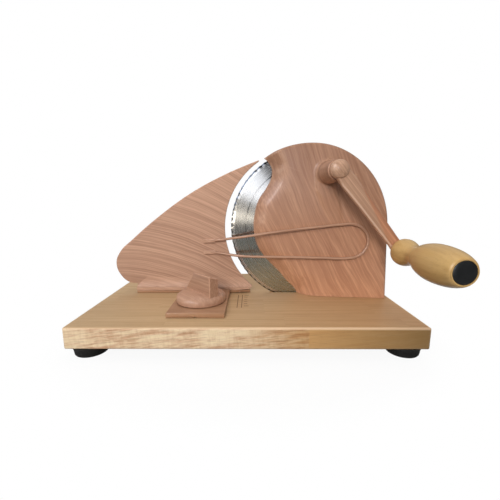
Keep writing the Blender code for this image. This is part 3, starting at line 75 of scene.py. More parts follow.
def reach_of(node):
    """Where a frame node starts and ends toward the user, from the blade's middle plane."""
    low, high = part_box(node)
    return BLADE_AXIS.y - high.y, BLADE_AXIS.y - low.y


BLADE_AXIS = centre_of("blade_disc")
CRANK_AXIS = centre_of("crank_cap")
GRIP_AXIS = centre_of("handle_grip")
KNOB_AXIS = centre_of("clamp_bolt")
BOARD_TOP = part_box("base_board")[1].z
FENCE_LOW, FENCE_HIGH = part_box("fence_plate")
ARM_BACK, ARM_FRONT = reach_of("crank_arm")
GRIP_BACK, GRIP_FRONT = reach_of("handle_grip")
RIM_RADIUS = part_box("gear_housing")[1].z - BLADE_AXIS.z
BLADE_RADIUS = half_width("blade_disc")
BELLY_RADIUS = half_width("handle_grip")

# Housing: how far its foot stands off the board, measured from the blade's axis, how much its
# face rises along X, and the X from which its outer side leans in.
HOUSING_FOOT = BOARD_TOP + 0.0003 - BLADE_AXIS.z
FACE_SLOPE = 0.075
LEAN_START = 0.010
# Bearings in degrees: where the housing's hook ends its rim, where a wave of the blade starts,
# and the directions of the arm and the knob's grip. The arm's print has a turn of its own.
HOOK_BEARING = 123.2
WAVE_START = 72.6
ARM_BEARING = -50.9
KNOB_BEARING = 134.0
ARM_FIGURE = (math.pi / 2, 0.0, math.radians(-51))
# Fence: the shift that sets its outline in place, its thickness, and the bow that clears the
# blade, as the middle's place and the radius.
FENCE_SHIFT = FENCE_LOW.x + 0.1688
FENCE_THICKNESS = 0.003
BOW_X, BOW_HEIGHT, BOW_RADIUS = 0.0700 + FENCE_SHIFT, 0.0841, 0.0985
# Fence's foot: its left end, and the points where the underside of its tip rises.
FOOT_LEFT = -0.1430
FOOT_TIP = ((-0.0060, 0.0050), (0.0010, 0.0060), (0.0050, 0.0077))
# Board: the size of a stave, the glue joint that shows on the edge, and the knot to its right.
STAVE_WIDTH, STAVE_LENGTH = 0.043, 0.118
BLOCK_JOINT = 0.0570
KNOT_PLACE = (0.1180, -0.1272, 0.0285)


def shade(red, green, blue):
    """Turn screen colour values of 0 to 255 into the linear ones that the nodes use."""
    return tuple(value / 255 / 12.92 if value <= 10 else ((value / 255 + 0.055) / 1.055) ** 2.4
                 for value in (red, green, blue))


def length(name, description, default):
    """A size that can be set in the sidebar."""
    return FloatProperty(name=name, description=description, default=default, min=0.0,
                         unit="LENGTH", subtype="DISTANCE", precision=4)


def colour(name, description, default):
    """A colour that can be set in the sidebar."""
    return FloatVectorProperty(name=name, description=description, default=default, size=3,
                               min=0.0, max=1.0, subtype="COLOR")


class SlicerSizes(PropertyGroup):
    """Sizes of the finished pieces."""

    rim_radius: length("Rim radius", "Radius of the housing's round rim", RIM_RADIUS)
    wall: length("Wall", "Wall thickness of the housing", 0.0026)
    face_depth: length("Face depth", "Height of the housing's face over the blade", 0.0177)
    rim_round: length("Rim round", "Rounding of the housing's outer rim", 0.0032)
    pad_height: length("Pad height", "Height of the raised pad round the barrel", 0.0025)
    barrel_length: length("Barrel length", "How far the crank's barrel reaches", 0.055)
    blade_radius: length("Blade radius", "Radius of the blade at its wave crests", BLADE_RADIUS)
    blade_waves: IntProperty(name="Blade waves", description="Waves in the blade's edge",
                             default=76, min=8, max=160)
    wave_height: length("Wave height", "Depth of the waves in the blade's edge", 0.0005)
    wire_radius: length("Wire radius", "Radius of the guard's wire", 0.0016)
    edge_round: length("Edge round", "Rounding of the fence's edges", 0.0008)
    crank_radius: length("Crank radius", "Distance from the crank's axis to the grip's", 0.1086)
    tick_length: length("Tick length", "Length of a long mark of the thickness scale", 0.0055)


class SlicerColours(PropertyGroup):
    """Colours of the finishes."""

    print_light: colour("Wood print, light", "Light tone of the wood print",
                        shade(186, 146, 121))
    print_dark: colour("Wood print, dark", "Dark lines of the wood print", shade(146, 102, 80))
    board_light: colour("Board, light", "Light tone of the board", shade(198, 166, 126))
    board_dark: colour("Board, dark", "Dark lines of the board", shade(146, 109, 72))
    edge_pale: colour("Board edge, left", "Tone of the board's edge at its left end",
                      shade(240, 208, 174))
    edge_deep: colour("Board edge, right", "Tone of the board's edge at its right end",
                      shade(140, 110, 66))
    grip_light: colour("Grip, light", "Light tone of the turned grip", shade(211, 174, 114))
    grip_dark: colour("Grip, dark", "Dark lines of the turned grip", shade(156, 112, 52))
    steel: colour("Steel", "Blade steel", shade(196, 193, 188))
    zinc: colour("Zinc", "Plated screws, axle and shaft", shade(186, 188, 190))
    bronze: colour("Bronze", "Bushes and insert", shade(176, 138, 84))
    nylon: colour("Nylon", "Gears", shade(222, 218, 204))
    rubber: colour("Rubber", "Feet", shade(15, 14, 12))
    plug: colour("Plug", "Plug in the end of the grip", shade(24, 25, 26))
    ink: colour("Ink", "Marks of the thickness scale", shade(92, 66, 44))
    floor: colour("Floor", "Floor and backdrop", shade(236, 236, 236))


# Meshes

def toward_user(centre):
    """The move from a piece made along +Z to its place on an axis that points at the user."""
    turn = Matrix.Rotation(math.pi / 2, 4, "X")
    return Matrix.Translation((centre.x, BLADE_AXIS.y, centre.z)) @ turn


def curved(points, resolution=8, **settings):
    """Blender's own smooth curve through a few points, as a mesh."""
    data = bpy.data.curves.new("guide", "CURVE")
    data.dimensions = "3D"
    data.resolution_u = resolution
    for key, value in settings.items():
        setattr(data, key, value)
    spline = data.splines.new("BEZIER")
    spline.bezier_points.add(len(points) - 1)
    for knot, point in zip(spline.bezier_points, points):
        knot.co = (*point, 0.0) if len(point) == 2 else point
        knot.handle_left_type = knot.handle_right_type = "AUTO"
    guide = bpy.data.objects.new("guide", data)
    bpy.context.scene.collection.objects.link(guide)
    bpy.context.view_layer.update()
    bm = bmesh.new()
    bm.from_mesh(guide.to_mesh())
    guide.to_mesh_clear()
    bpy.data.objects.remove(guide)
    bpy.data.curves.remove(data)
    return bm


def sampled(points, resolution=8):
    """Points along Blender's own smooth curve through a few points."""
    bm = curved(points, resolution)
    path = [vert.co.copy() for vert in bm.verts]
    bm.free()
    return path


def arc(radius, start, end, count, centre=(0.0, 0.0)):
    """Points on an arc between two bearings in degrees."""
    bearings = [math.radians(start + (end - start) * step / (count - 1))
                for step in range(count)]
    return [Vector((centre[0] + radius * math.cos(bearing),
                    centre[1] + radius * math.sin(bearing), 0.0)) for bearing in bearings]


def flat_face(bm, outline):
    """One face through an outline of points."""
    return bm.faces.new([bm.verts.new((point[0], point[1], 0.0)) for point in outline])


def spun(bm, profile, segments=96, bored=False):
    """Spin a profile of (radius, height) pairs about Z."""
    verts = [bm.verts.new((radius, 0.0, height)) for radius, height in profile]
    pairs = list(zip(verts, verts[1:])) + ([(verts[-1], verts[0])] if bored else [])
    edges = [bm.edges.new(pair) for pair in pairs]
    bmesh.ops.spin(bm, geom=verts + edges, cent=(0, 0, 0), axis=(0, 0, 1),
                   angle=2 * math.pi, steps=segments, use_merge=True)
    bmesh.ops.remove_doubles(bm, verts=bm.verts, dist=1e-6)


def bevelled(bm, edges, offset, segments=3):
    """Round some edges."""
    bmesh.ops.bevel(bm, geom=edges, offset=offset, segments=segments, profile=0.5,
                    affect="EDGES", material=-1)


def slab(bm, outline, low, high, rounding=0.0, segments=3):
    """Extrude an outline between two heights and round its two rims."""
    face = flat_face(bm, outline)
    bmesh.ops.translate(bm, verts=face.verts, vec=(0, 0, low))
    sides = bmesh.ops.extrude_face_region(bm, geom=[face])["geom"]
    tops = [item for item in sides if isinstance(item, bmesh.types.BMVert)]
    bmesh.ops.translate(bm, verts=tops, vec=(0, 0, high - low))
    top = next(item for item in sides if isinstance(item, bmesh.types.BMFace))
    if rounding:
        bevelled(bm, list(set(face.edges) | set(top.edges)), rounding, segments)


def rounded_block(bm, low, high, rounding, segments=3, move=Matrix.Identity(4)):
    """A box between two corners with rounded edges."""
    low, high = Vector(low), Vector(high)
    cube = bmesh.ops.create_cube(bm, size=1.0)["verts"]
    bmesh.ops.scale(bm, vec=high - low, verts=cube)
    bmesh.ops.translate(bm, vec=(low + high) / 2, verts=cube)
    bmesh.ops.transform(bm, matrix=move, verts=cube)
    bevelled(bm, list({edge for vert in cube for edge in vert.link_edges}), rounding, segments)


def joined(bm, other):
    """Add a second bmesh to a first and free it."""
    mesh = bpy.data.meshes.new("part")
    other.to_mesh(mesh)
    other.free()
    bm.from_mesh(mesh)
    bpy.data.meshes.remove(mesh)


def piece(name, bm, finish, body, nodes=(), move=None, sharp=35.0):
    """Make a bmesh a finished piece: normals out, in place, with its finish and its body."""
    bmesh.ops.remove_doubles(bm, verts=bm.verts, dist=1e-6)
    bmesh.ops.recalc_face_normals(bm, faces=bm.faces)
    if move is not None:
        bmesh.ops.transform(bm, matrix=move, verts=bm.verts)
    mesh = bpy.data.meshes.new(name)
    bm.to_mesh(mesh)
    bm.free()
    mesh.shade_smooth()
    mesh.set_sharp_from_angle(angle=math.radians(sharp))
    mesh.materials.append(bpy.data.materials[finish])
    made = bpy.data.objects.new(name, mesh)
    bpy.context.scene.collection.objects.link(made)
    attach(made, body)
    if nodes:
        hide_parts(*nodes)


def copied(node):
    """A merged copy of a frame node's mesh, as faces that can be bevelled."""
    bm = bmesh.new()
    bm.from_mesh(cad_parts[node].data)
    bmesh.ops.remove_doubles(bm, verts=bm.verts, dist=1e-6)
    bmesh.ops.dissolve_limit(bm, angle_limit=math.radians(1.5), verts=bm.verts,
                             edges=bm.edges)
    return bm


def keep_rims_apart(bm, width, least_area):
    """Inset the large flat faces, so that the pale wear and painted highlight on their rims stays
    at the rims.
    """
    for axis in range(3):
        for side in (1, -1):
            flats = [face for face in bm.faces if face.normal[axis] * side > 0.999
                     and face.calc_area() > least_area]
            for share in (0.4, 0.6) if flats else ():
                bmesh.ops.inset_region(bm, faces=flats, thickness=width * share,
                                       use_boundary=True, use_even_offset=False)


def parts_of(faces):
    """Some faces with their edges and corners."""
    edges = {edge for face in faces for edge in face.edges}
    return faces + list(edges) + list({vert for face in faces for vert in face.verts})


def trim(bm, place, outwards):
    """Cut off what lies beyond a plane and close the cut."""
    everything = list(bm.verts) + list(bm.edges) + list(bm.faces)
    bmesh.ops.bisect_plane(bm, geom=everything, plane_co=place, plane_no=outwards, dist=1e-6,
                           clear_outer=True)
    bmesh.ops.holes_fill(bm, edges=[edge for edge in bm.edges if edge.is_boundary])


def blend_step(value, low, high):
    """Rise smoothly from 0 at low to 1 at high."""
    share = max(0.0, min(1.0, (value - low) / (high - low)))
    return share * share * (3 - 2 * share)


def read_off(value, table):
    """Read a value off a table of (input, output) pairs, straight from one to the next."""
    for (low, low_out), (high, high_out) in zip(table, table[1:]):
        if value <= high:
            return low_out + (high_out - low_out) * max(value - low, 0.0) / (high - low)
    return table[-1][1]


def soft_min(first, second, radius):
    """The lesser of two heights, with the crease between them rounded."""
    share = max(radius - abs(first - second), 0.0) / radius
    return min(first, second) - share * share * radius / 4


# Finishes

def add(tree, kind, links=(), **settings):
    """Add a node, set its values and link its inputs by name or number."""
    node = tree.nodes.new("ShaderNode" + kind)
    for key, value in settings.items():
        if hasattr(node, key):
            setattr(node, key, value)
        else:
            node.inputs[key.replace("_", " ").title()].default_value = value
    for key, source in dict(links).items():
        tree.links.new(source, node.inputs[key])
    return node


def feed(tree, socket, value):
    """Link a socket to another one, or set it to a plain number or colour."""
    if isinstance(value, bpy.types.NodeSocket):
        tree.links.new(value, socket)
    else:
        socket.default_value = value if isinstance(value, (int, float)) else (*value, 1.0)


def maths(tree, operation, first, second=None):
    """Add a Math node on one or two sockets or numbers."""
    node = add(tree, "Math", operation=operation)
    feed(tree, node.inputs[0], first)
    if second is not None:
        feed(tree, node.inputs[1], second)
    return node.outputs[0]


def times(tree, first, second):
    """Multiply two sockets or numbers."""
    return maths(tree, "MULTIPLY", first, second)


def plus(tree, first, second):
    """Add two sockets or numbers."""
    return maths(tree, "ADD", first, second)


def minus(tree, first, second):
    """Take the second socket or number from the first."""
    return maths(tree, "SUBTRACT", first, second)


def vectors(tree, operation, vector, by=None):
    """Add a Vector Math node on a socket, with a plain vector where it takes two."""
    node = add(tree, "VectorMath", {0: vector}, operation=operation)
    if by is not None:
        node.inputs[1].default_value = by
    return node.outputs["Value" if operation == "LENGTH" else "Vector"]


def split(tree, vector):
    """The three parts of a vector."""
    return add(tree, "SeparateXYZ", {0: vector}).outputs


def own(tree, kind="Object"):
    """A set of texture coordinates, the piece's own Object ones unless another is named."""
    return add(tree, "TexCoord").outputs[kind]


def noise(tree, vector, scale=1.0, detail=2.0, **settings):
    """Soft noise over a vector."""
    return add(tree, "TexNoise", {"Vector": vector}, scale=scale, detail=detail,
               **settings).outputs[0]


def ranged(tree, value, low, high, out_low=0.0, out_high=1.0, smooth=False):
    """Spread a value's range over another, clamped."""
    node = add(tree, "MapRange", {"Value": value})
    node.interpolation_type = "SMOOTHSTEP" if smooth else "LINEAR"
    for name, number in (("From Min", low), ("From Max", high), ("To Min", out_low),
                         ("To Max", out_high)):
        node.inputs[name].default_value = number
    return node.outputs["Result"]


def mixed(tree, factor, first, second, blend="MIX"):
    """Mix two colours by a mask."""
    node = add(tree, "Mix", data_type="RGBA", blend_type=blend)
    for key, value in ((0, factor), (6, first), (7, second)):
        feed(tree, node.inputs[key], value)
    return node.outputs[2]


def laid(tree, mask, amount, under, over):
    """Lay a colour over another where a mask is bright, no more than by an amount."""
    return mixed(tree, times(tree, mask, amount), under, over)


def tinted(tree, colour_socket, tint):
    """Multiply a colour by a tint."""
    return mixed(tree, 1.0, colour_socket, tint, "MULTIPLY")


def scaled(tone, *factors):
    """A plain colour made lighter or darker, by one factor or by three."""
    return tuple(min(part * factor, 1.0) for part, factor in zip(tone, factors * 3))


def summed(first, first_shares, second, second_share):
    """A plain colour made of shares of two others."""
    return tuple(one * share + other * second_share
                 for one, share, other in zip(first, first_shares, second))


def group_tree(name, inputs, outputs):
    """Start a shader node group with named sockets."""
    tree = bpy.data.node_groups.new(name, "ShaderNodeTree")
    for socket, kind, default in inputs:
        made = tree.interface.new_socket(socket, in_out="INPUT", socket_type="NodeSocket" + kind)
        if default is not None:
            made.default_value = default
    for socket in outputs:
        tree.interface.new_socket(socket, in_out="OUTPUT", socket_type="NodeSocketFloat")
    return tree, tree.nodes.new("NodeGroupInput").outputs, tree.nodes.new("NodeGroupOutput").inputs


def make_grain_group():
    """Wood figure: growth lines, fine pores and slow changes of tone.

    It runs along its own X. Bend arches the lines, and Warp makes them wander.
    """
    tree, given, out = group_tree("wood_grain", [
        ("Vector", "Vector", None), ("Lines", "Float", 260.0), ("Warp", "Float", 0.010),
        ("Bend", "Float", 0.0), ("Seed", "Float", 0.0)], ["Lines", "Pale", "Pores", "Tone"])
    link = tree.links.new
    along, across, deep = split(tree, given["Vector"])

    def stretched(level, lengthwise, crosswise):
        """The place in the wood, denser across the grain than along it."""
        return add(tree, "CombineXYZ", {
            0: times(tree, along, lengthwise), 1: times(tree, level, crosswise),
            2: plus(tree, given["Seed"], times(tree, deep, crosswise))}).outputs[0]

    wander = noise(tree, stretched(across, 9.0, 22.0), detail=3.0)
    drift = times(tree, minus(tree, wander, 0.5), given["Warp"])
    arch = times(tree, times(tree, along, along), given["Bend"])
    level = plus(tree, across, plus(tree, drift, arch))
    figure = noise(tree, stretched(level, 5.0, given["Lines"]), detail=2.5, roughness=0.62)
    link(ranged(tree, figure, 0.40, 0.66), out["Lines"])
    link(ranged(tree, figure, 0.44, 0.34), out["Pale"])
    link(ranged(tree, noise(tree, stretched(level, 70.0, 1900.0)), 0.55, 0.75), out["Pores"])
    link(ranged(tree, noise(tree, stretched(level, 7.0, 45.0)), 0.3, 0.7), out["Tone"])


def make_edge_mask_group():
    """Edge mask: bright on convex outer edges, where finishes lay pale wear and, on wood, a
    painted highlight.
    """
    tree, given, out = group_tree("edge_rub", [("Width", "Float", 0.03)], ["Edges"])
    convex_edges = add(tree, "MapRange", {"Value": add(tree, "NewGeometry").outputs["Pointiness"],
                                 "From Max": plus(tree, 0.5, given["Width"])})
    convex_edges.inputs["From Min"].default_value = 0.5
    tree.links.new(convex_edges.outputs["Result"], out["Edges"])


def make_mottle_group():
    """Slow uneven tone and fine tooth of a moulded or handled surface."""
    tree, given, out = group_tree("mottle", [
        ("Vector", "Vector", None), ("Size", "Float", 40.0), ("Tooth", "Float", 1800.0)],
        ["Tone", "Tooth"])
    slow = add(tree, "TexNoise", {"Vector": given["Vector"], "Scale": given["Size"]}, detail=3.0)
    fine = add(tree, "TexNoise", {"Vector": given["Vector"], "Scale": given["Tooth"]}, detail=2.0)
    tree.links.new(ranged(tree, slow.outputs[0], 0.3, 0.7), out["Tone"])
    tree.links.new(fine.outputs[0], out["Tooth"])


def make_turning_group():
    """Rings left by turning or grinding about an axis along Y through a centre."""
    tree, given, out = group_tree("turning_marks", [
        ("Vector", "Vector", None), ("Rings", "Float", 2600.0)], ["Rings", "Arcs", "Radius"])
    x, _, z = split(tree, given["Vector"])
    flat = add(tree, "CombineXYZ", {0: x, 1: z}).outputs[0]
    radius = vectors(tree, "LENGTH", flat)
    ring = add(tree, "TexNoise", {"W": times(tree, radius, given["Rings"])},
               noise_dimensions="1D", scale=1.0, detail=3.0)
    tree.links.new(ring.outputs[0], out["Rings"])
    sweep = add(tree, "CombineXYZ", {0: times(tree, maths(tree, "ARCTAN2", z, x), 1.6),
                                     1: times(tree, radius, 900.0)})
    tree.links.new(noise(tree, sweep.outputs[0], detail=3.0), out["Arcs"])
    tree.links.new(radius, out["Radius"])


def grouped(tree, name, links=(), **values):
    """Place a shader group in a material with its own values."""
    node = tree.nodes.new("ShaderNodeGroup")
    node.node_tree = bpy.data.node_groups[name]
    for key, value in values.items():
        node.inputs[key.replace("_", " ").title()].default_value = value
    for key, source in dict(links).items():
        tree.links.new(source, node.inputs[key])
    return node.outputs


def new_finish(name, **sockets):
    """Start a material with a Principled shader and plain values on its sockets."""
    made = bpy.data.materials.new(name)
    made.use_nodes = True
    tree = made.node_tree
    shader = tree.nodes["Principled BSDF"]
    for key, value in sockets.items():
        shader.inputs[key.replace("_", " ").title()].default_value = value
    return tree, shader


def placed(tree, centre=(0.0, 0.0, 0.0), turn=(0.0, 0.0, 0.0)):
    """Object coordinates, centred and turned for a pattern."""
    mapping = add(tree, "Mapping", {"Vector": vectors(tree, "SUBTRACT", own(tree), centre)})
    mapping.inputs["Rotation"].default_value = turn
    return mapping.outputs[0]


def surfaced(tree, shader, tone, rough, height, depth):
    """Feed the shader its colour, its roughness and the height of its fine relief."""
    bump = add(tree, "Bump", {"Height": height})
    bump.inputs["Distance"].default_value = depth
    for socket, source in (("Base Color", tone), ("Roughness", rough),
                           ("Normal", bump.outputs[0])):
        tree.links.new(source, shader.inputs[socket])


def make_print_finish(name, light, dark, centre, turn, lines, warp, bend, seed,
                      low_tint=(1.0, 1.0, 1.0), high_tint=(1.0, 1.0, 1.0), rim_shade=0.0,
                      worn_and_lit_edges=0.35, contrast=0.55, coat=0.55, satin=0.14):
    """Wood print on moulded parts: growth lines under a clear satin coat.

    Its tint changes from low to high over the object, rim_shade is how far a painted shade
    darkens the print where a rounded rim turns away, worn_and_lit_edges is how far its edges
    pale as wear and as a painted highlight, contrast is how dark its lines are, and satin is
    the coat's roughness.
    """
    tree, shader = new_finish(name, coat_weight=coat, coat_roughness=satin)
    where = placed(tree, centre, turn)
    grain = grouped(tree, "wood_grain", {"Vector": where}, lines=lines, warp=warp, bend=bend,
                    seed=seed)
    lined = laid(tree, grain["Lines"], contrast, light, dark)
    toned = laid(tree, grain["Tone"], 0.26, lined, dark)
    paled = laid(tree, grain["Pale"], 0.34, toned, scaled(light, 1.22, 1.26, 1.32))
    pored = laid(tree, grain["Pores"], 0.30, paled, scaled(dark, 0.62))
    # Pale convex edges: partly wear, partly a painted highlight.
    convex_edges = grouped(tree, "edge_rub", width=0.05)["Edges"]
    edged = laid(tree, convex_edges, worn_and_lit_edges, pored, scaled(light, 1.25))
    shift = mixed(tree, ranged(tree, split(tree, own(tree))[2], 0.04, 0.19), low_tint, high_tint)
    # Painted shade: the print darkens where a rounded rim or the round wire turns away from the
    # front.
    facing = maths(tree, "ABSOLUTE", split(tree, own(tree, "Normal"))[1])
    rim = times(tree, ranged(tree, facing, 0.66, 0.40), ranged(tree, facing, 0.16, 0.30))
    ringed = laid(tree, rim, rim_shade, tinted(tree, edged, shift), scaled(dark, 0.45))
    mottle = grouped(tree, "mottle", {"Vector": where}, size=60.0, tooth=2200.0)
    rough = plus(tree, ranged(tree, mottle["Tone"], 0.0, 1.0, 0.40, 0.50),
                 times(tree, grain["Pores"], 0.08))
    height = minus(tree, times(tree, mottle["Tooth"], 0.5), times(tree, grain["Pores"], 0.7))
    surfaced(tree, shader, ringed, rough, height, 0.00006)


def tone_arm_and_paint_highlight(name, tint, pale):
    """Make the arm's print darker and redder along its right side towards the grip, and paint a
    highlight along its left edge.
    """
    tree = bpy.data.materials[name].node_tree
    tone = tree.nodes["Principled BSDF"].inputs["Base Color"]
    plain = tone.links[0].from_socket
    along, across, _ = split(tree, placed(tree, CRANK_AXIS, ARM_FIGURE))
    border = ranged(tree, along, 0.020, 0.100, -0.0085, 0.0060)
    beyond = ranged(tree, minus(tree, border, across), -0.0004, 0.0006)
    mask = times(tree, beyond, ranged(tree, along, 0.016, 0.030))
    reddened = mixed(tree, mask, plain, tinted(tree, plain, tint))
    # Painted highlight: a pale line along the arm's left edge.
    convex_edges = grouped(tree, "edge_rub", width=0.04)["Edges"]
    left = times(tree, ranged(tree, across, 0.0030, 0.0045), ranged(tree, along, 0.010, 0.014))
    tree.links.new(laid(tree, convex_edges, left, reddened, pale), tone)


def patches(tree, vector, squeeze, size):
    """Soft patches, drawn out along the directions where squeeze is small."""
    return noise(tree, vectors(tree, "MULTIPLY", vector, squeeze), size, 5.0, roughness=0.6)


def board_edge(tree, x, dark, edge_pale, edge_deep):
    """The board's edge: a lively pale block at the left and a quiet deep one at the right, darker
    towards the right partly as painted shade.
    """
    def from_block(left, right):
        """A value that changes at the glue joint between the two blocks."""
        return ranged(tree, x, BLOCK_JOINT - 0.0005, BLOCK_JOINT + 0.0005, left, right)

    tilted = placed(tree, (0.0, 0.0, 0.0), (math.pi / 2, 0.0, math.radians(6)))
    streaks = grouped(tree, "wood_grain", {"Vector": tilted}, lines=850.0, warp=0.009, bend=0.0,
                      seed=2.0)
    # Darker towards the right: partly the two blocks' own tones, partly painted shade.
    left = mixed(tree, ranged(tree, x, -0.02, 0.05), edge_pale,
                 summed(edge_pale, (0.60, 0.50, 0.36), edge_deep, 0.45))
    right = mixed(tree, ranged(tree, x, 0.06, 0.172),
                  summed(edge_pale, (0.56, 0.44, 0.28), edge_deep, 0.55), edge_deep)
    ground = mixed(tree, from_block(0.0, 1.0), left, right)
    sideways = maths(tree, "ABSOLUTE", split(tree, own(tree, "Normal"))[0])
    along_grain = ranged(tree, sideways, 0.6, 0.8, 1.0, 0.18)
    lined = laid(tree, streaks["Lines"], times(tree, from_block(0.42, 0.16), along_grain), ground,
                 scaled(dark, 1.00, 0.72, 0.58))
    blotch = patches(tree, tilted, (1.0, 6.5, 6.5), 36.0)
    ribbon = patches(tree, tilted, (5.0, 1.0, 1.0), 70.0)
    lively = times(tree, from_block(1.0, 0.12), along_grain)
    browned = laid(tree, ranged(tree, blotch, 0.54, 0.34, 0.0, 0.55), lively, lined,
                   tinted(tree, lined, (0.72, 0.50, 0.37)))
    bleached = laid(tree, ranged(tree, blotch, 0.43, 0.64, 0.0, 0.95),
                    times(tree, lively, ranged(tree, x, -0.03, 0.05, 0.9, 0.25)), browned,
                    scaled(edge_pale, 1.30))
    return laid(tree, ranged(tree, ribbon, 0.45, 0.62, 0.0, 0.40), lively, bleached,
                tinted(tree, bleached, (0.78, 0.70, 0.62)))


def make_board_finish(name, light, dark, edge_pale, edge_deep):
    """Glued-up hardwood: a quiet face, and an edge that shows each block's own figure."""
    tree, shader = new_finish(name, coat_weight=0.08, coat_roughness=0.4)
    where = placed(tree)
    x, y, z = split(tree, where)
    stave = maths(tree, "DIVIDE", plus(tree, y, 0.30), STAVE_WIDTH)
    row = maths(tree, "FLOOR", stave)
    slip = times(tree, maths(tree, "FRACT", times(tree, row, 0.381)), 0.16)
    run = maths(tree, "DIVIDE", plus(tree, plus(tree, x, slip), 1.0), STAVE_LENGTH)
    seed = plus(tree, times(tree, row, 7.31), times(tree, maths(tree, "FLOOR", run), 3.77))
    chance = add(tree, "TexWhiteNoise", {"W": seed}, noise_dimensions="1D").outputs["Value"]
    grain = grouped(tree, "wood_grain", {"Vector": where, "Seed": seed}, lines=260.0, warp=0.010,
                    bend=0.02)
    toned = laid(tree, chance, 0.10, laid(tree, grain["Lines"], 0.22, light, dark), dark)
    warmed = mixed(tree, ranged(tree, x, -0.05, 0.17), toned,
                   tinted(tree, toned, (0.93, 0.80, 0.68)))
    on_edge = ranged(tree, z, BOARD_TOP - 0.0003, BOARD_TOP - 0.0012)
    face = mixed(tree, on_edge, warmed, board_edge(tree, x, dark, edge_pale, edge_deep))
    pored = laid(tree, grain["Pores"], 0.25, face, scaled(dark, 0.6))
    seam = maths(tree, "MAXIMUM", ranged(tree, maths(tree, "FRACT", stave), 0.008, 0.0),
                 ranged(tree, maths(tree, "FRACT", run), 0.002, 0.0))
    shown_seam = times(tree, seam, minus(tree, 1.0, on_edge))
    seamed = laid(tree, shown_seam, 0.16, pored, scaled(dark, 0.6))
    from_knot = vectors(tree, "MULTIPLY", vectors(tree, "SUBTRACT", where, KNOT_PLACE),
                        (0.6, 1.0, 1.0))
    knot = ranged(tree, vectors(tree, "LENGTH", from_knot), 0.0032, 0.0008, 0.0, 0.55)
    knotted = mixed(tree, knot, seamed, scaled(edge_deep, 0.5))
    # Pale top rim, stronger towards the right: partly wear, partly a painted highlight.
    convex_edges = grouped(tree, "edge_rub", width=0.06)["Edges"]
    rim_wear_and_glint = times(tree, ranged(tree, z, BOARD_TOP - 0.0030, BOARD_TOP - 0.0015, 0.20, 1.0),
                 ranged(tree, x, -0.12, 0.03, 0.12, 0.50))
    edged = laid(tree, convex_edges, rim_wear_and_glint, knotted, scaled(edge_pale, 1.1))
    height = plus(tree, times(tree, grain["Pores"], -0.8), times(tree, shown_seam, -0.4))
    surfaced(tree, shader, edged, ranged(tree, grain["Lines"], 0.0, 1.0, 0.46, 0.58), height,
             0.00006)


def make_grip_finish(name, light, dark):
    """Turned and lacquered hardwood, its grain along the grip."""
    tree, shader = new_finish(name, coat_weight=0.5, coat_roughness=0.16)
    where = placed(tree, GRIP_AXIS, (0.0, 0.0, math.radians(90)))
    grain = grouped(tree, "wood_grain", {"Vector": where}, lines=200.0, warp=0.006, bend=0.0,
                    seed=4.0)
    lined = laid(tree, grain["Lines"], 0.30, light, dark)
    toned = laid(tree, grain["Tone"], 0.30, lined, dark)
    pored = laid(tree, grain["Pores"], 0.25, toned, scaled(dark, 0.6))
    # Pale convex edges: partly wear, partly a painted highlight at the grip's rims.
    convex_edges = grouped(tree, "edge_rub", width=0.05)["Edges"]
    edged = laid(tree, convex_edges, 0.12, pored, scaled(light, 1.2))
    marks = grouped(tree, "turning_marks", {"Vector": where}, rings=1500.0)
    surfaced(tree, shader, edged, ranged(tree, marks["Arcs"], 0.3, 0.7, 0.34, 0.44),
             times(tree, grain["Pores"], -1.0), 0.00004)


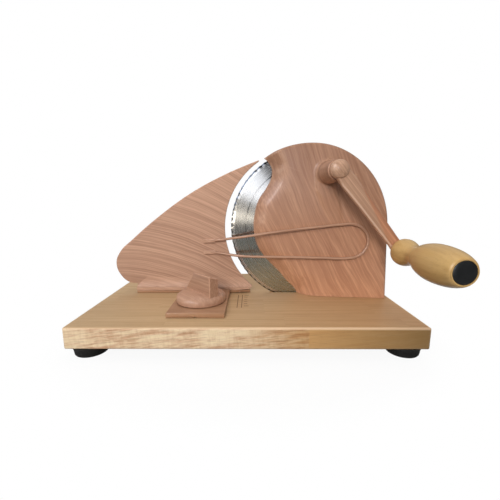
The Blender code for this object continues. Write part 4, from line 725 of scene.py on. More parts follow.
def make_blade_finish(name, steel, waves):
    """Steel ground in circles about its axis, light spreading across the rings, with painted
    reflection and shade.
    """
    tree, shader = new_finish(name, metallic=1.0, anisotropic=1.0, anisotropic_rotation=0.25)
    where = placed(tree, BLADE_AXIS)
    marks = grouped(tree, "turning_marks", {"Vector": where}, rings=1500.0)
    radius = marks["Radius"]
    x, _, z = split(tree, where)

    def from_rim(start, end):
        """A mask that rises between two distances from the blade's rim."""
        return ranged(tree, radius, BLADE_RADIUS - start, BLADE_RADIUS - end)

    dark = scaled(steel, 0.80)
    ringed = mixed(tree, ranged(tree, marks["Rings"], 0.3, 0.7, 0.65, 1.0), dark, steel)
    toned = laid(tree, ranged(tree, marks["Arcs"], 0.3, 0.7), 0.16, ringed, dark)
    # Painted reflection: the steel turns lighter and greener towards the bottom.
    flat = mixed(tree, ranged(tree, z, -0.004, -0.034), toned,
                 tinted(tree, toned, (1.32, 1.44, 1.36)))
    upper = ranged(tree, z, 0.006, 0.026)
    # Painted reflection: the bevel band is near white, turning to plain steel towards the top.
    bevel_glare = mixed(tree, upper, tuple(min(part * 1.6, 0.96) for part in steel), steel)
    bright = mixed(tree, from_rim(0.0054, 0.0046), flat, bevel_glare)
    # Painted shade: dark lines at the blade's step and at the bevel's inner border, the step's
    # line darker higher up.
    step = times(tree, ranged(tree, radius, 0.0758, 0.0762), ranged(tree, radius, 0.0778, 0.0773))
    bevel = times(tree, from_rim(0.0060, 0.0055), from_rim(0.0047, 0.0052))
    lines = maths(tree, "MAXIMUM",
                  times(tree, step, ranged(tree, z, -0.030, 0.010, 0.15, 0.80)),
                  times(tree, bevel, 0.35))
    shade_lined = mixed(tree, lines, bright, scaled(steel, 0.36))
    # Painted shade at the waved edge: a dark line, near black below with dashes at the waves'
    # hollows, blue-grey along the top.
    phase = times(tree, minus(tree, maths(tree, "ARCTAN2", z, x), math.radians(WAVE_START)),
                  float(waves))
    scallop_shade = maths(tree, "MAXIMUM", upper,
                   ranged(tree, maths(tree, "COSINE", phase), 0.2, -0.4, 0.35, 1.0))
    edge = mixed(tree, upper, scaled(steel, 0.10), shade(92, 98, 108))
    surfaced(tree, shader, laid(tree, scallop_shade, from_rim(0.0024, 0.0017), shade_lined, edge),
             ranged(tree, marks["Rings"], 0.3, 0.7, 0.24, 0.29), marks["Rings"], 0.0000004)
    tangent = add(tree, "Tangent", direction_type="RADIAL", axis="Y")
    tree.links.new(tangent.outputs[0], shader.inputs["Tangent"])


def make_metal_finish(name, base, roughness):
    """Plated or plain small metal with uneven tone and scuffed edges."""
    tree, shader = new_finish(name, metallic=1.0)
    mottle = grouped(tree, "mottle", {"Vector": placed(tree)}, size=350.0, tooth=4000.0)
    convex_edges = grouped(tree, "edge_rub", width=0.05)["Edges"]
    toned = mixed(tree, mottle["Tone"], scaled(base, 0.78), base)
    rough = ranged(tree, mottle["Tone"], 0.0, 1.0, roughness - 0.06, roughness + 0.08)
    surfaced(tree, shader, laid(tree, convex_edges, 0.5, toned, scaled(base, 1.3)), rough,
             mottle["Tooth"], 0.00001)


def make_plain_finish(name, base, roughness, tooth, depth, spread=0.25):
    """Moulded plastic or rubber: uneven tone, fine tooth and paler scuffed edges."""
    tree, shader = new_finish(name)
    mottle = grouped(tree, "mottle", {"Vector": placed(tree)}, size=120.0, tooth=tooth)
    convex_edges = grouped(tree, "edge_rub", width=0.06)["Edges"]
    toned = mixed(tree, mottle["Tone"], scaled(base, 1 - spread), scaled(base, 1 + spread))
    edged = laid(tree, convex_edges, 0.35, toned, tuple(min(part * 2.2 + 0.01, 1.0) for part in base))
    rough = ranged(tree, mottle["Tone"], 0.0, 1.0, roughness - 0.06, roughness + 0.08)
    surfaced(tree, shader, edged, rough, mottle["Tooth"], depth)


FINISH_OF_SLOT = {
    "board_wood": "staved_wood", "wood_print": "print_fence", "turned_wood": "grip_wood",
    "blade_steel": "ground_steel", "zinc_steel": "plated_steel", "brass": "bronze",
    "gear_nylon": "milky_nylon", "black_rubber": "foot_rubber", "black_plastic": "plug_plastic"}


class SLICER_OT_finishes(Operator):
    """Make every finish and give the frame's own nodes theirs"""

    bl_idname = "slicer.finishes"
    bl_label = "Finishes"

    def execute(self, context):
        colours = context.scene.slicer_colours
        tone = {key: tuple(getattr(colours, key)) for key in SlicerColours.__annotations__}
        make_grain_group()
        make_edge_mask_group()
        make_mottle_group()
        make_turning_group()
        light, dark = tone["print_light"], tone["print_dark"]
        make_print_finish("print_housing", light, dark, BLADE_AXIS,
                          (math.pi / 2, 0.0, math.radians(-65)), 400.0, 0.016, 0.5, 1.0,
                          (1.31, 1.18, 1.04), (0.90, 0.86, 0.82), rim_shade=0.45, satin=0.22)
        make_print_finish("print_fence", scaled(light, 1.36), dark, FENCE_LOW,
                          (math.pi / 2, 0.0, 0.0), 640.0, 0.008, -2.0, 5.0, (0.80, 0.84, 0.88),
                          (1.00, 1.03, 1.06), rim_shade=0.6, contrast=0.62, coat=0.15,
                          satin=0.42)
        make_print_finish("print_arm", scaled(light, 1.30, 1.38, 1.38), dark, CRANK_AXIS,
                          ARM_FIGURE, 420.0, 0.006, 0.0, 9.0, worn_and_lit_edges=0.08)
        # The pale colour is a painted highlight for the arm's left edge.
        tone_arm_and_paint_highlight("print_arm", (1.0, 0.80, 0.70), shade(236, 202, 178))
        # The knob's strong pale edges are mostly a painted highlight.
        make_print_finish("print_knob", light, dark, KNOB_AXIS,
                          (0.0, 0.0, math.radians(180 - KNOB_BEARING)), 330.0, 0.006, 0.0,
                          12.0, worn_and_lit_edges=0.60)
        # A darker copy of the print for the carriage: partly its own darker tone, partly painted
        # shade under the knob.
        make_print_finish("print_slide", scaled(light, 0.80, 0.75, 0.62), scaled(dark, 0.70),
                          KNOB_AXIS, (0.0, 0.0, 0.0), 330.0, 0.006, 0.0, 21.0)
        make_print_finish("print_wire", light, dark, (0.0, 0.0, 0.0), (0.0, 0.0, 0.0), 300.0,
                          0.01, 0.0, 15.0, rim_shade=0.55)
        make_board_finish("staved_wood", tone["board_light"], tone["board_dark"],
                          tone["edge_pale"], tone["edge_deep"])
        make_grip_finish("grip_wood", tone["grip_light"], tone["grip_dark"])
        make_blade_finish("ground_steel", tone["steel"], context.scene.slicer_sizes.blade_waves)
        make_metal_finish("plated_steel", tone["zinc"], 0.34)
        make_metal_finish("bronze", tone["bronze"], 0.38)
        make_plain_finish("milky_nylon", tone["nylon"], 0.45, 1500.0, 0.00003, spread=0.06)
        make_plain_finish("foot_rubber", tone["rubber"], 0.72, 1400.0, 0.00008)
        make_plain_finish("plug_plastic", tone["plug"], 0.42, 2600.0, 0.00003)
        make_plain_finish("scale_ink", tone["ink"], 0.6, 2600.0, 0.00001)
        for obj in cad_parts.values():
            slot = obj.data.materials[0].name.split(".")[0]
            obj.data.materials.clear()
            obj.data.materials.append(bpy.data.materials[FINISH_OF_SLOT[slot]])
        return {"FINISHED"}


class SLICER_OT_board(Operator):
    """Board, with its pale rims, partly wear and partly painted highlight, kept apart from its
    flat faces
    """

    bl_idname = "slicer.board"
    bl_label = "Board"

    def execute(self, context):
        bm = copied("base_board")
        keep_rims_apart(bm, 0.0015, 0.0008)
        piece("solid_board", bm, "staved_wood", "board_and_housing",
              ["base_board"])
        return {"FINISHED"}


class SLICER_OT_feet(Operator):
    """Turned rubber feet with a soft lower lip"""

    bl_idname = "slicer.feet"
    bl_label = "Feet"

    def execute(self, context):
        for place in ("front_left", "front_right", "rear_left", "rear_right"):
            node = "foot_" + place
            middle, radius, height = centre_of(node), half_width(node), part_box(node)[1].z
            recess, bore = 0.0046, 0.0021
            bm = bmesh.new()
            spun(bm, [(recess, 0.0003), (0.0050, 0.0), (radius * 0.83, 0.0),
                      (radius * 0.885, 0.0003), (radius * 0.915, 0.0010),
                      (radius * 0.93, 0.0022), (radius * 0.955, height * 0.55),
                      (radius * 0.985, height * 0.72), (radius, height * 0.82),
                      (radius, height), (bore, height), (bore, height * 0.5),
                      (recess, height * 0.5)], 64, bored=True)
            piece("rubber_" + node, bm, "foot_rubber", "board_and_housing",
                  [node], Matrix.Translation((middle.x, middle.y, 0.0)))
        return {"FINISHED"}


def deflector_line():
    """The housing's S-shaped left edge from its hook down to the board, about the blade.

    The shares are of the rim's radius, and below the blade's axis of the drop to the board.
    """
    rim, drop = bpy.context.scene.slicer_sizes.rim_radius, -HOUSING_FOOT
    hook = math.radians(HOOK_BEARING)
    shares = ((math.cos(hook), math.sin(hook)), (-0.5080, 0.8048), (-0.4557, 0.7264),
              (-0.4507, 0.6288), (-0.5121, 0.4909), (-0.6107, 0.3390), (-0.6590, 0.1610),
              (-0.6700, -0.0236), (-0.6288, -0.2476), (-0.5483, -0.4068), (-0.3380, -0.6710),
              (-0.2304, -0.8172), (-0.1258, -0.9434), (-0.1056, -1.0))
    return sampled([(rim * x, (rim if z > 0 else drop) * z) for x, z in shares])


def tree_of(points):
    """A lookup of the nearest of many points."""
    tree = kdtree.KDTree(len(points))
    for index, point in enumerate(points):
        tree.insert(point, index)
    tree.balance()
    return tree


def denser(points, gap=0.0006):
    """Fill a line of points so that no two lie further apart than a gap."""
    filled = []
    for start, end in zip(points, points[1:]):
        steps = max(1, math.ceil((end - start).length / gap))
        filled += [start.lerp(end, step / steps) for step in range(steps)]
    return filled + [points[-1]]


class SLICER_OT_housing(Operator):
    """Moulded housing: a crowned face off the S-shaped deflector, with a pad by the crank"""

    bl_idname = "slicer.housing"
    bl_label = "Housing"

    def execute(self, context):
        sizes = context.scene.slicer_sizes
        rim_radius, wall, depth = sizes.rim_radius, sizes.wall, sizes.face_depth
        deflector = deflector_line()
        rim = arc(rim_radius, 0.0, HOOK_BEARING, 120)[:-1]
        side = [Vector((rim_radius, HOUSING_FOOT * (1 - step / 30), 0)) for step in range(30)]
        foot_left = deflector[-1].x
        base = [Vector((foot_left + (rim_radius - foot_left) * step / 40, HOUSING_FOOT, 0))
                for step in range(1, 40)]
        outline = side + rim + deflector + base
        near_edge, near_rim = tree_of(denser(deflector)), tree_of(denser(side + rim))
        crank = Vector((CRANK_AXIS.x - BLADE_AXIS.x, CRANK_AXIS.z - BLADE_AXIS.z, 0.0))
        bend, tail = (Vector((*place, 0)) * crank.length for place in ((0.2765, 0.6912),
                                                                       (0.4926, 0.0441)))
        pad_path = []
        for start, end, steps, radius, thinner, share, flatter in (
                (crank, bend, 20, 0.015, 0.0035, 1.0, 0.2),
                (bend, tail, 30, 0.0115, 0.0065, 0.8, 0.7)):
            pad_path += [(start.lerp(end, step / steps), radius - thinner * step / steps,
                          share - flatter * step / steps) for step in range(steps + 1)]

        def pad(point):
            """The rise of the pad, a rounded strip from the crank down to its tail."""
            best = 0.0
            for centre, radius, share in pad_path:
                gap = (point - centre).length - radius
                best = max(best, share * (1 - blend_step(gap, -0.0012, 0.0022)))
            return best * sizes.pad_height

        def height(point):
            """The face's height: a ramp and a crown off the deflector, and a rounded rim."""
            crown = max(0.0042, depth * read_off(near_edge.find(point)[2] / 0.024, [
                (0.0, 0.2373), (0.1875, 0.4633), (0.375, 0.6554), (0.5625, 0.8023),
                (1.0, 1.0169), (1.6667, 1.2994), (2.9167, 2.2599)]))
            top = soft_min(crown, depth + FACE_SLOPE * point.x, 0.0016)
            short = max(sizes.rim_round - near_rim.find(point)[2], 0.0)
            return top - sizes.rim_round + math.sqrt(max(sizes.rim_round ** 2 - short ** 2, 0.0))

        def lean(point):
            """How much the outer side leans in, less towards the foot."""
            drop = min(max(point.y / HOUSING_FOOT, 0.0), 1.0)
            return 0.0078 * (1 - 0.45 * drop) / (rim_radius - LEAN_START)

        def drafted(point):
            """A point's X once the outer side leans in."""
            return point.x - lean(point) * max(point.x - LEAN_START, 0.0)

        def upright(point):
            """The place that a point had before it leant in."""
            if point.x < LEAN_START:
                return point
            share = lean(point)
            return Vector(((point.x - LEAN_START * share) / (1 - share), point.y, 0.0))

        def behind(point, index):
            """How far back the open side lies: close to the blade along the deflector."""
            if index < len(side) + len(rim):
                return -0.002
            if index < len(side) + len(rim) + len(deflector):
                return 0.003
            return read_off(point.x / rim_radius, [(0.5634, 0.003), (0.8048, -0.002)])

        backs = [behind(point, index) for index, point in enumerate(outline)]
        middle = Vector((0.2817, 0.5030, 0.0)) * rim_radius
        rays = []
        for index, point in enumerate(outline):
            along = outline[(index + 1) % len(outline)] - outline[index - 1]
            inward = Vector((-along.y, along.x, 0.0)).normalized()
            ray = middle - point
            rays.append((ray, max(ray.normalized().dot(inward), 0.3) * ray.length))

        def skin(bm, inset, depths):
            """One skin of the cover: the edges of its open back, and its last, inner face."""
            def drawn_in(point, ray, reach, ring_depth):
                """A point of the outline, moved in by the inset and a ring's depth."""
                most = 0.004 + 30 * ring_depth if ring_depth else 0.0
                return point + ray * (min(inset / reach, 0.062) + min(ring_depth / reach, most))

            first = flat_face(bm, outline)
            loop, edges = list(first.verts), list(first.edges)
            bmesh.ops.delete(bm, geom=[first], context="FACES_ONLY")
            open_back = edges
            for vert, point, (ray, reach), low in zip(loop, outline, rays, backs):
                at = drawn_in(point, ray, reach, 0.0)
                vert.co = (at.x, at.y, low)
            for ring_depth in depths:
                grown = bmesh.ops.extrude_edge_only(bm, edges=edges)["geom"]
                fresh = {item for item in grown if isinstance(item, bmesh.types.BMVert)}
                loop = [next(edge.other_vert(vert) for edge in vert.link_edges
                             if edge.other_vert(vert) in fresh) for vert in loop]
                edges = [item for item in grown if isinstance(item, bmesh.types.BMEdge)
                         and item.verts[0] in fresh and item.verts[1] in fresh]
                for vert, point, (ray, reach), low in zip(loop, outline, rays, backs):
                    at = drawn_in(point, ray, reach, ring_depth)
                    vert.co = (drafted(at), at.y, max(height(at) - inset, low + 0.0004))
            return open_back, bmesh.ops.contextual_create(bm, geom=edges)["faces"]

        bm = bmesh.new()
        depths = (0.0, 0.0002, 0.0005, 0.0009, 0.0014, 0.0020, 0.0026, 0.0032, 0.0042, 0.0054,
                  0.0068, 0.0084, 0.0100, 0.0112, 0.0122, 0.0132, 0.0144, 0.0160)
        outer_back, field = skin(bm, 0.0, depths)
        for axis, place, end, fine_from, fine_to in (
                (Vector((1, 0, 0)), -0.070, 0.100, 0.002, 0.045),
                (Vector((0, 1, 0)), -0.086, 0.100, -0.008, 0.084)):
            while place < end:
                cut = bmesh.ops.bisect_plane(bm, geom=parts_of(field), plane_co=axis * place,
                                             plane_no=axis, dist=1e-6)
                field = list({item for item in cut["geom"]
                              if isinstance(item, bmesh.types.BMFace)})
                place += 0.0010 if fine_from < place < fine_to else 0.0030
        for vert in {vert for face in field for vert in face.verts}:
            point = Vector((vert.co.x, vert.co.y, 0.0))
            vert.co.z = height(upright(point)) + pad(point)
        inner_back, _ = skin(bm, wall, depths[::3])
        bmesh.ops.bridge_loops(bm, edges=outer_back + inner_back)
        piece("housing_cover", bm, "print_housing", "board_and_housing",
              ["gear_housing"], toward_user(BLADE_AXIS), sharp=50.0)
        return {"FINISHED"}


class SLICER_OT_barrel(Operator):
    """The crank's barrel on the housing, with a filleted root, and the lugs behind the face"""

    bl_idname = "slicer.barrel"
    bl_label = "Barrel and lugs"

    def execute(self, context):
        sizes = context.scene.slicer_sizes
        face = (sizes.face_depth + FACE_SLOPE * (CRANK_AXIS.x - BLADE_AXIS.x)
                + sizes.pad_height)
        start, end = 0.0100, sizes.barrel_length
        bore, root = 0.0068, 0.0108
        bm = bmesh.new()
        spun(bm, [(bore, start), (root, start), (root, face - 0.002),
                  (0.0154, face - 0.0012), (0.0143, face - 0.0002), (0.0134, face + 0.0008),
                  (0.0128, face + 0.0024), (0.0125, face + 0.0045), (0.0109, end - 0.0010),
                  (0.0106, end - 0.0003), (0.0100, end), (bore, end)], bored=True)
        piece("crank_barrel", bm, "print_housing", "board_and_housing",
              move=toward_user(CRANK_AXIS))
        bm = bmesh.new()
        for offset in (0.024, 0.054, 0.084):
            rounded_block(bm, (offset - 0.0055, HOUSING_FOOT + 0.0006, 0.0065),
                          (offset + 0.0055, HOUSING_FOOT + 0.022, face - 0.006), 0.0008)
        boss, hole, low, high = 0.0092, 0.0043, 0.0078, 0.0165
        spun(bm, [(hole, low), (boss, low), (boss, high), (hole, high)], 48, bored=True)
        piece("housing_lugs", bm, "print_housing", "board_and_housing",
              move=toward_user(BLADE_AXIS))
        return {"FINISHED"}


class SLICER_OT_blade(Operator):
    """Blade: stepped, bevelled toward the user, with a fine waved edge"""

    bl_idname = "slicer.blade"
    bl_label = "Blade"

    def execute(self, context):
        sizes = context.scene.slicer_sizes
        radius, waves = sizes.blade_radius, sizes.blade_waves
        bore, half, ledge = 0.0083, 0.0006, 0.0003
        bm = bmesh.new()
        spun(bm, [(bore, -half), (radius * 0.5, -half), (radius * 0.8, -half),
                  (radius - 0.0060, -half), (radius - 0.0003, -half), (radius, -0.0004),
                  (radius - 0.0006, -0.00028), (radius - 0.0013, -0.00016),
                  (radius - 0.0032, -0.00004), (radius - 0.0052, ledge),
                  (radius - 0.0060, ledge), (0.0770, ledge), (0.0764, half),
                  (radius * 0.5, half), (bore, half)], waves * 8, bored=True)
        for vert in bm.verts:
            reach = math.hypot(vert.co.x, vert.co.y)
            share = blend_step(reach, radius - 0.0030, radius - 0.0006)
            if share > 0:
                swell = math.cos(waves * math.atan2(vert.co.y, vert.co.x))
                drawn = 1 - share * sizes.wave_height * (1 - swell) / 2 / reach
                vert.co.x *= drawn
                vert.co.y *= drawn
                if vert.co.z > -0.0003:
                    vert.co.z += share * 0.00005 * swell
        turn = Matrix.Rotation(math.radians(WAVE_START), 3, "Z")
        bmesh.ops.rotate(bm, verts=bm.verts, matrix=turn)
        piece("slicing_blade", bm, "ground_steel", "blade", ["blade_disc"],
              toward_user(BLADE_AXIS), sharp=20.0)
        return {"FINISHED"}


class SLICER_OT_crank(Operator):
    """Tapered crank arm with rounded edges, and the domed cap over its nut"""

    bl_idname = "slicer.crank"
    bl_label = "Crank arm and cap"

    def execute(self, context):
        reach = context.scene.slicer_sizes.crank_radius
        hub, root, tip = 0.0098, 0.0084, 0.0059
        edge = [Vector((0.016, root, 0)), Vector((0.045, root * 0.45 + tip * 0.55, 0)),
                Vector((reach - 0.012, tip, 0))]
        outline = arc(hub, 53.0, 307.0, 60) + [Vector((at.x, -at.y, 0)) for at in edge]
        outline += arc(tip * 1.136, -85.0, 85.0, 40, (reach, 0.0)) + edge[::-1]
        bm = bmesh.new()
        slab(bm, outline, ARM_BACK, ARM_FRONT, 0.0018, 4)
        keep_rims_apart(bm, 0.0008, 0.0004)
        turn = Matrix.Rotation(math.radians(ARM_BEARING), 4, "Z")
        piece("tapered_arm", bm, "print_arm", "crank", ["crank_arm"],
              toward_user(CRANK_AXIS) @ turn)
        low, radius = ARM_FRONT + 0.0003, 0.0090
        crest, ball = low + 0.0045, 0.0136
        dome = [(radius * share, crest - ball + math.sqrt(ball ** 2 - (radius * share) ** 2))
                for share in (0.95, 0.88, 0.80, 0.70, 0.58, 0.44, 0.28, 0.12)]
        skirt_in, skirt_out = 0.0050, 0.0062
        bm = bmesh.new()
        spun(bm, [(0.0, low + 0.0008), (skirt_in, low + 0.0008), (skirt_in, low - 0.001),
                  (skirt_out, low - 0.001), (skirt_out, low), (radius * 0.985, low),
                  (radius, low + 0.0002), (radius, low + 0.0007), (radius * 0.985, low + 0.0011),
                  *dome, (0.0, crest)])
        piece("domed_cap", bm, "print_arm", "crank", ["crank_cap"],
              toward_user(CRANK_AXIS))
        return {"FINISHED"}


class SLICER_OT_grip(Operator):
    """Turned grip with its ball end, and the plug in its outer end"""

    bl_idname = "slicer.grip"
    bl_label = "Grip and plug"

    def execute(self, context):
        long = GRIP_FRONT - GRIP_BACK
        ball, neck, belly, end = 0.0140, 0.0093, BELLY_RADIUS, 0.0118
        stations = [(ball * 0.66, 0.0), (ball * 0.80, 0.0006), (ball * 0.92, 0.0022),
                    (ball, 0.0070), (ball * 0.95, 0.0122)]
        stations += [(radius, long * share) for radius, share in (
            (ball * 0.80, 0.195), (neck * 1.02, 0.25), (neck, 0.30), (neck * 1.12, 0.36),
            (belly * 0.80, 0.44), (belly * 0.92, 0.52), (belly * 0.99, 0.61), (belly, 0.69),
            (belly * 0.965, 0.79), (belly * 0.89, 0.88), (end * 1.10, 0.955),
            (end * 0.97, 0.989), (end * 0.90, 0.997), (0.0107, 1.0))]
        outer = [(min(point.x, belly), GRIP_BACK + point.y) for point in sampled(stations, 5)]
        plug_seat, pocket, bore = 0.0096, 0.0080, 0.0034
        inner = [(plug_seat, GRIP_FRONT), (plug_seat, GRIP_FRONT - 0.002),
                 (pocket, GRIP_FRONT - 0.002), (pocket, GRIP_FRONT - 0.015),
                 (bore, GRIP_FRONT - 0.015), (bore, GRIP_BACK)]
        bm = bmesh.new()
        spun(bm, outer + inner, bored=True)
        piece("turned_grip", bm, "grip_wood", "handle", ["handle_grip"],
              toward_user(GRIP_AXIS))
        seat, radius = GRIP_FRONT - 0.0017, 0.0093
        bm = bmesh.new()
        spun(bm, [(0.0, seat), (radius - 0.0004, seat), (radius, seat + 0.0004),
                  (radius, GRIP_FRONT - 0.0002), (radius - 0.0003, GRIP_FRONT + 0.0002),
                  (radius - 0.0009, GRIP_FRONT + 0.0005), (radius * 0.6, GRIP_FRONT + 0.00062),
                  (0.0, GRIP_FRONT + 0.0007)])
        piece("grip_plug", bm, "plug_plastic", "handle", ["handle_cap"],
              toward_user(GRIP_AXIS))
        return {"FINISHED"}


def fence_line():
    """The fence plate's outline from the user's side, as x and height over the board."""
    tip_bearing, reach = 124.47, BOW_RADIUS + 0.00133
    tip = (BOW_X + reach * math.cos(math.radians(tip_bearing)),
           BOW_HEIGHT + reach * math.sin(math.radians(tip_bearing)))
    knots = [tip] + [(x + FENCE_SHIFT, height) for x, height in (
        (-0.0055, 0.1591), (-0.0305, 0.1483), (-0.0685, 0.1282), (-0.1076, 0.1013),
        (-0.1481, 0.0679), (-0.1621, 0.0548), (-0.1688, 0.0388), (-0.1621, 0.0206),
        (-0.1520, 0.0132), (-0.1440, 0.0122))]
    top = sampled(knots, 10)
    foot = [Vector((x + FENCE_SHIFT, height, 0)) for x, height in (
        (FOOT_LEFT, 0.0118), (FOOT_LEFT, 0.0045), (-0.0200, 0.0045), *FOOT_TIP)]
    low_bearing = 180 + math.degrees(math.asin((BOW_HEIGHT - 0.0092) / BOW_RADIUS))
    bow = arc(BOW_RADIUS, low_bearing, tip_bearing + 0.2, 90, (BOW_X, BOW_HEIGHT))
    return top + foot + bow


class SLICER_OT_fence(Operator):
    """Fence plate with rounded edges, coved foot and the two sleeves that hold the wire"""

    bl_idname = "slicer.fence"
    bl_label = "Fence"

    def execute(self, context):
        corner = Matrix.Translation((0, FENCE_HIGH.y, BOARD_TOP))
        bm = bmesh.new()
        slab(bm, fence_line(), 0.0, FENCE_THICKNESS, context.scene.slicer_sizes.edge_round)
        upright = corner @ Matrix.Rotation(math.pi / 2, 4, "X")
        bmesh.ops.transform(bm, matrix=upright, verts=bm.verts)
        foot = bmesh.new()
        inside, toe, cove_start, cove_height = 0.001, 0.0066, 0.0078, 0.013
        section = [(inside, 0.0040), (toe - 0.0003, 0.0040), (toe, 0.0043), (toe, 0.0076),
                   (toe - 0.0001, 0.0079)]
        section += [(toe - 0.0036 * (1 - (1 - step / 12) ** 2),
                     cove_start + cove_height * (step / 12) ** 1.6) for step in range(1, 13)]
        section.append((inside, cove_start + cove_height))
        slab(foot, section, FOOT_LEFT + FENCE_SHIFT, 0.0061 + FENCE_SHIFT)
        lengthwise = Matrix(((0, 0, 1, 0), (-1, 0, 0, 0), (0, 1, 0, 0), (0, 0, 0, 1)))
        bmesh.ops.transform(foot, matrix=corner @ lengthwise, verts=foot.verts)
        for rise in (0.0095, 0.0125, 0.0160, 0.0200):
            drop = BOW_HEIGHT - rise
            inwards = Vector((math.sqrt(BOW_RADIUS ** 2 - drop ** 2), 0.0, drop))
            trim(foot, Vector((BOW_X, 0.0, BOARD_TOP + BOW_HEIGHT)) - inwards, inwards)
        cuts = [(*place, slope, -1.0) for place, slope in zip(FOOT_TIP, (0.10, 0.35, 0.90))]
        cuts += [(FOOT_LEFT, 0.0090, -1.0, 0.9), (-0.1380, 0.0150, -0.7, 1.0)]
        for x, height, slope, rise in cuts:
            trim(foot, Vector((x + FENCE_SHIFT, 0.0, BOARD_TOP + height)),
                 Vector((slope, 0.0, rise)))
        joined(bm, foot)
        for height, rise in ((0.0680, 0.05), (0.0536, 0.02)):
            place = (FENCE_SHIFT - 0.04845, FENCE_HIGH.y - FENCE_THICKNESS, BOARD_TOP + height)
            move = (Matrix.Translation(place) @ Matrix.Rotation(math.pi / 2, 4, "X")
                    @ Matrix.Rotation(math.atan(rise), 4, "Z"))
            rounded_block(bm, (-0.0075, -0.0024, -0.0005), (0.0076, 0.0024, 0.0033), 0.0009,
                          move=move)
        piece("fence_panel", bm, "print_fence", "fence", ["fence_plate"],
              sharp=12.0)
        return {"FINISHED"}


class SLICER_OT_wire(Operator):
    """Hairpin of wire in front of the blade, both ends set in the fence"""

    bl_idname = "slicer.wire"
    bl_label = "Wire guard"

    def execute(self, context):
        shift = Vector((FENCE_SHIFT, BLADE_AXIS.y - 0.007, BOARD_TOP))
        points = [(-0.0522, 0.0030, 0.0684), (-0.046, 0.0028, 0.0684),
                  (-0.036, 0.0012, 0.0694), (-0.020, -0.0045, 0.0722),
                  (0.000, -0.0115, 0.0757), (0.028, -0.0148, 0.0803), (0.062, -0.0158, 0.0848),
                  (0.089, -0.0168, 0.0880), (0.112, -0.0178, 0.0905), (0.1265, -0.0185, 0.0905),
                  (0.1370, -0.0190, 0.0845), (0.1425, -0.0193, 0.0735),
                  (0.1408, -0.0192, 0.0620), (0.1320, -0.0187, 0.0530),
                  (0.1200, -0.0181, 0.0502), (0.090, -0.0168, 0.0502), (0.062, -0.0158, 0.0507),
                  (0.028, -0.0148, 0.0510), (0.000, -0.0115, 0.0510), (-0.018, -0.0050, 0.0513),
                  (-0.034, 0.0010, 0.0528), (-0.046, 0.0028, 0.0538), (-0.0522, 0.0030, 0.0538)]
        bm = curved([Vector(point) + shift for point in points], bevel_resolution=5,
                    bevel_depth=context.scene.slicer_sizes.wire_radius, use_fill_caps=True)
        piece("guard_wire", bm, "print_wire", "fence", ["wire_guard"])
        return {"FINISHED"}


class SLICER_OT_carriage(Operator):
    """Carriage under the fence, with softened edges"""

    bl_idname = "slicer.carriage"
    bl_label = "Carriage"

    def execute(self, context):
        bm = copied("fence_carriage")
        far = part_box("fence_carriage")[1]
        for corner in bm.verts:
            if corner.co.x > far.x - 0.0005 and corner.co.y < far.y - 0.005:
                corner.co.y += 0.0045
        sharp = [edge for edge in bm.edges if edge.is_manifold
                 and edge.calc_face_angle() > math.radians(60)
                 and min(vert.co.z for vert in edge.verts) > BOARD_TOP - 0.0001
                 and edge.calc_length() > 0.003]
        bevelled(bm, sharp, 0.0005, 2)
        keep_rims_apart(bm, 0.0006, 0.0003)
        piece("fence_slide_block", bm, "print_slide", "fence", ["fence_carriage"])
        return {"FINISHED"}


class SLICER_OT_knob(Operator):
    """Round knob with its wedge-shaped grip"""

    bl_idname = "slicer.knob"
    bl_label = "Clamp knob"

    def execute(self, context):
        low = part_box("thickness_knob")[0].z
        radius, bore, rim, base = 0.028, 0.0060, 0.0042, 0.0110
        crown = [(radius * share, low + rim + (base - rim) * rise) for share, rise in (
            (0.993, 0.10), (0.975, 0.32), (0.945, 0.48), (0.90, 0.62), (0.84, 0.76),
            (0.76, 0.88), (0.64, 0.96), (0.5, 1.0))]
        bm = bmesh.new()
        spun(bm, [(bore, low), (radius * 0.975, low), (radius * 0.993, low + 0.0003),
                  (radius, low + 0.0009), (radius, low + rim - 0.0004), *crown,
                  (bore, low + base)], bored=True)
        half, thick, crest = 0.0245, 0.0118, low + 0.0322
        side = [(-half, low + 0.004), (half, low + 0.004), (half, low + rim + 0.004),
                (0.030 - half, crest), (-half, crest)]
        wedge = bmesh.new()
        slab(wedge, side, -thick / 2, thick / 2)
        for corner in wedge.verts:
            if corner.co.z > 0 and corner.co.y > low + 0.020:
                corner.co.y -= 0.0042
        bevelled(wedge, wedge.edges, 0.0010)
        keep_rims_apart(wedge, 0.0007, 0.00005)
        bmesh.ops.rotate(wedge, verts=wedge.verts, matrix=Matrix.Rotation(math.pi / 2, 3, "X"))
        joined(bm, wedge)
        turn = Matrix.Rotation(math.radians(KNOB_BEARING), 4, "Z")
        piece("clamp_knob", bm, "print_knob", "knob", ["thickness_knob"],
              Matrix.Translation((KNOB_AXIS.x, KNOB_AXIS.y, 0.0)) @ turn)
        return {"FINISHED"}


class SLICER_OT_scale(Operator):
    """Plain marks of the thickness scale, printed on the board beside the slide"""

    bl_idname = "slicer.scale"
    bl_label = "Thickness scale"

    def execute(self, context):
        long = context.scene.slicer_sizes.tick_length
        spine, first = KNOB_AXIS.x + 0.0464, KNOB_AXIS.y + 0.0338
        sunk, proud = BOARD_TOP - 0.0001, BOARD_TOP + 0.00005
        lines = [(x - 0.0004, x + 0.0004, first - 0.0440, first)
                 for x in (spine - 0.0050, spine)]
        for index in range(6):
            start, y = spine + 0.0024, first - 0.0010 - 0.0075 * index
            lines.append((start, start + long * (0.7 if index % 5 else 1.0), y - 0.0006,
                          y + 0.0006))
        bm = bmesh.new()
        for left, right, near, far in lines:
            rounded_block(bm, (left, near, sunk), (right, far, proud), 0.00002, 1)
        piece("scale_marks", bm, "scale_ink", "board_and_housing")
        return {"FINISHED"}


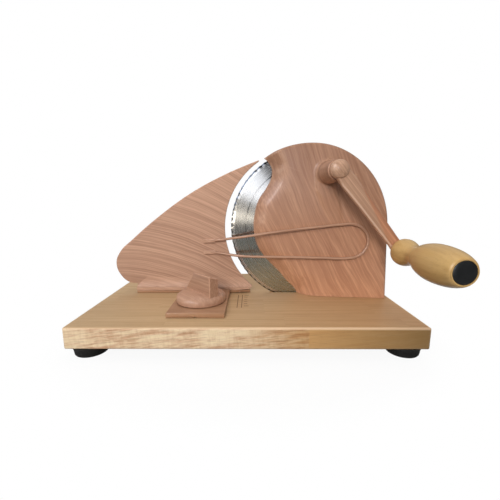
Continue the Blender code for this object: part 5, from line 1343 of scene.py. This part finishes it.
class SLICER_OT_stage(Operator):
    """Pale floor, soft studio lights and the camera"""

    bl_idname = "slicer.stage"
    bl_label = "Stage, lights and camera"

    def execute(self, context):
        scene = context.scene
        bm = bmesh.new()
        bmesh.ops.create_grid(bm, x_segments=1, y_segments=1, size=3.0)
        mesh = bpy.data.meshes.new("floor")
        bm.to_mesh(mesh)
        bm.free()
        floor = bpy.data.objects.new("floor", mesh)
        scene.collection.objects.link(floor)
        mesh.materials.append(make_floor_finish(tuple(scene.slicer_colours.floor)))
        make_studio(scene)
        lamps = (("key", (-0.20, -1.28, 0.58), 0.44, 10.2, (1.0, 0.96, 0.91)),
                 ("side", (-0.80, -0.90, 0.72), 0.36, 2.4, (1.0, 1.0, 1.0)),
                 ("top", (0.0, 0.10, 1.40), 1.20, 6.4, (0.97, 0.99, 1.0)),
                 ("back", (0.55, 1.25, 0.55), 0.80, 7.0, (1.0, 0.98, 0.95)))
        for name, place, size, power, tint in lamps:
            lamp = bpy.data.lights.new(name, "AREA")
            lamp.shape = "DISK"
            lamp.size = size
            lamp.energy = power
            lamp.color = tint
            holder = bpy.data.objects.new(name, lamp)
            holder.location = place
            aim = Vector((0.0, 0.0, 0.08)) - Vector(place)
            holder.rotation_euler = aim.to_track_quat("-Z", "Y").to_euler()
            holder.visible_glossy = name == "side"
            scene.collection.objects.link(holder)
        lens = bpy.data.cameras.new("camera")
        lens.lens = 20.95
        lens.sensor_width = 36.0
        camera = bpy.data.objects.new("camera", lens)
        camera.location = (0.00149, -0.33655, 0.1516)
        yaw, pitch = math.radians(-0.15), math.radians(9.81)
        forward = Vector((math.sin(yaw) * math.cos(pitch), math.cos(yaw) * math.cos(pitch),
                          -math.sin(pitch)))
        camera.rotation_euler = forward.to_track_quat("-Z", "Y").to_euler()
        scene.collection.objects.link(camera)
        scene.camera = camera
        scene.view_settings.view_transform = "Standard"
        return {"FINISHED"}


def make_studio(scene):
    """World: white to the camera, soft grey as a light, and tall windows to shiny metal."""
    world = bpy.data.worlds.new("studio")
    scene.world = world
    world.use_nodes = True
    tree = world.node_tree
    tree.nodes.clear()
    black = (0.0, 0.0, 0.0)
    ray = add(tree, "LightPath").outputs
    x, y, z = split(tree, own(tree, "Generated"))
    room = mixed(tree, ranged(tree, z, -0.25, 0.6, smooth=True), (0.10, 0.090, 0.080),
                 (0.47, 0.48, 0.50))
    bearing = plus(tree, math.pi, maths(tree, "ARCTAN2", minus(tree, -0.06, z),
                                        minus(tree, 0.16, x)))
    glare = None
    for start, end, soft, tone in ((128, 159, 4, (3.2, 3.4, 3.8)),
                                   (169.5, 184, 2, (5.6, 5.3, 4.8)),
                                   (150, 174, 6, (0.42, 0.40, 0.37))):
        rise, fall = (ranged(tree, bearing, math.radians(side), math.radians(inner), smooth=True)
                      for side, inner in ((start, start + soft), (end, end - soft)))
        window = laid(tree, rise, fall, black, tone)
        glare = window if glare is None else mixed(tree, 1.0, glare, window, "ADD")
    front = mixed(tree, ranged(tree, y, -0.15, -0.35), black, glare)
    dimmed = mixed(tree, ranged(tree, y, 0.0, 0.4, 0.20, 0.75), black, room)
    shiny = mixed(tree, 1.0, dimmed, front, "ADD")
    light = add(tree, "Background", {"Color": mixed(tree, ray["Is Glossy Ray"], room, shiny)},
                strength=0.90)
    white = add(tree, "Background", strength=1.0)
    white.inputs["Color"].default_value = (1.0, 1.0, 1.0, 1.0)
    shown = add(tree, "MixShader", {0: ray["Is Camera Ray"], 1: light.outputs[0],
                                    2: white.outputs[0]})
    out = tree.nodes.new("ShaderNodeOutputWorld")
    tree.links.new(shown.outputs[0], out.inputs[0])


def make_floor_finish(tone):
    """Pale floor that keeps a soft shadow near the object and fades into the white backdrop."""
    tree, shader = new_finish("pale_floor", roughness=0.9)
    shader.inputs["Specular IOR Level"].default_value = 0.0
    where = own(tree)
    ray = add(tree, "LightPath").outputs
    seen = ray["Is Camera Ray"]
    behind = ranged(tree, split(tree, where)[1], -0.20, 0.10, 0.05, 0.75)
    shown = maths(tree, "MAXIMUM", seen, times(tree, ray["Is Glossy Ray"], behind))
    speck = ranged(tree, noise(tree, where, 30.0), 0.3, 0.7)
    pale = mixed(tree, speck, scaled(tone, 0.99), tone)
    tree.links.new(mixed(tree, shown, scaled(tone, 0.16), pale), shader.inputs["Base Color"])
    reach = vectors(tree, "LENGTH", vectors(tree, "MULTIPLY", where, (1.0, 1.3, 1.0)))
    near = ranged(tree, reach, 0.24, 0.17, 0.0, 0.08, smooth=True)
    tree.links.new(maths(tree, "MAXIMUM", near, minus(tree, 1.0, seen)), shader.inputs["Alpha"])
    return bpy.data.materials["pale_floor"]


class SLICER_PT_panel(Panel):
    """Sizes, colours and the steps that make the slicer"""

    bl_idname = "SLICER_PT_panel"
    bl_label = "Bread slicer"
    bl_space_type = "VIEW_3D"
    bl_region_type = "UI"
    bl_category = "Slicer"

    def draw(self, context):
        for group in (context.scene.slicer_sizes, context.scene.slicer_colours):
            box = self.layout.box()
            for name in group.bl_rna.properties.keys():
                if name not in ("rna_type", "name"):
                    box.prop(group, name)
        for step in STEPS:
            self.layout.operator(step.bl_idname)


STEPS = (SLICER_OT_finishes, SLICER_OT_board, SLICER_OT_feet, SLICER_OT_housing, SLICER_OT_barrel,
         SLICER_OT_blade, SLICER_OT_crank, SLICER_OT_grip, SLICER_OT_fence, SLICER_OT_wire,
         SLICER_OT_carriage, SLICER_OT_knob, SLICER_OT_scale, SLICER_OT_stage)
CLASSES = (SlicerSizes, SlicerColours) + STEPS + (SLICER_PT_panel,)


def register():
    """Register the classes and the two groups of settings."""
    for made in CLASSES:
        bpy.utils.register_class(made)
    bpy.types.Scene.slicer_sizes = PointerProperty(type=SlicerSizes)
    bpy.types.Scene.slicer_colours = PointerProperty(type=SlicerColours)


def unregister():
    """Take them away again."""
    del bpy.types.Scene.slicer_colours
    del bpy.types.Scene.slicer_sizes
    for made in reversed(CLASSES):
        bpy.utils.unregister_class(made)


def main():
    """Make the slicer step by step."""
    register()
    for step in STEPS:
        group, name = step.bl_idname.split(".")
        getattr(getattr(bpy.ops, group), name)()


if __name__ == "__main__":
    main()
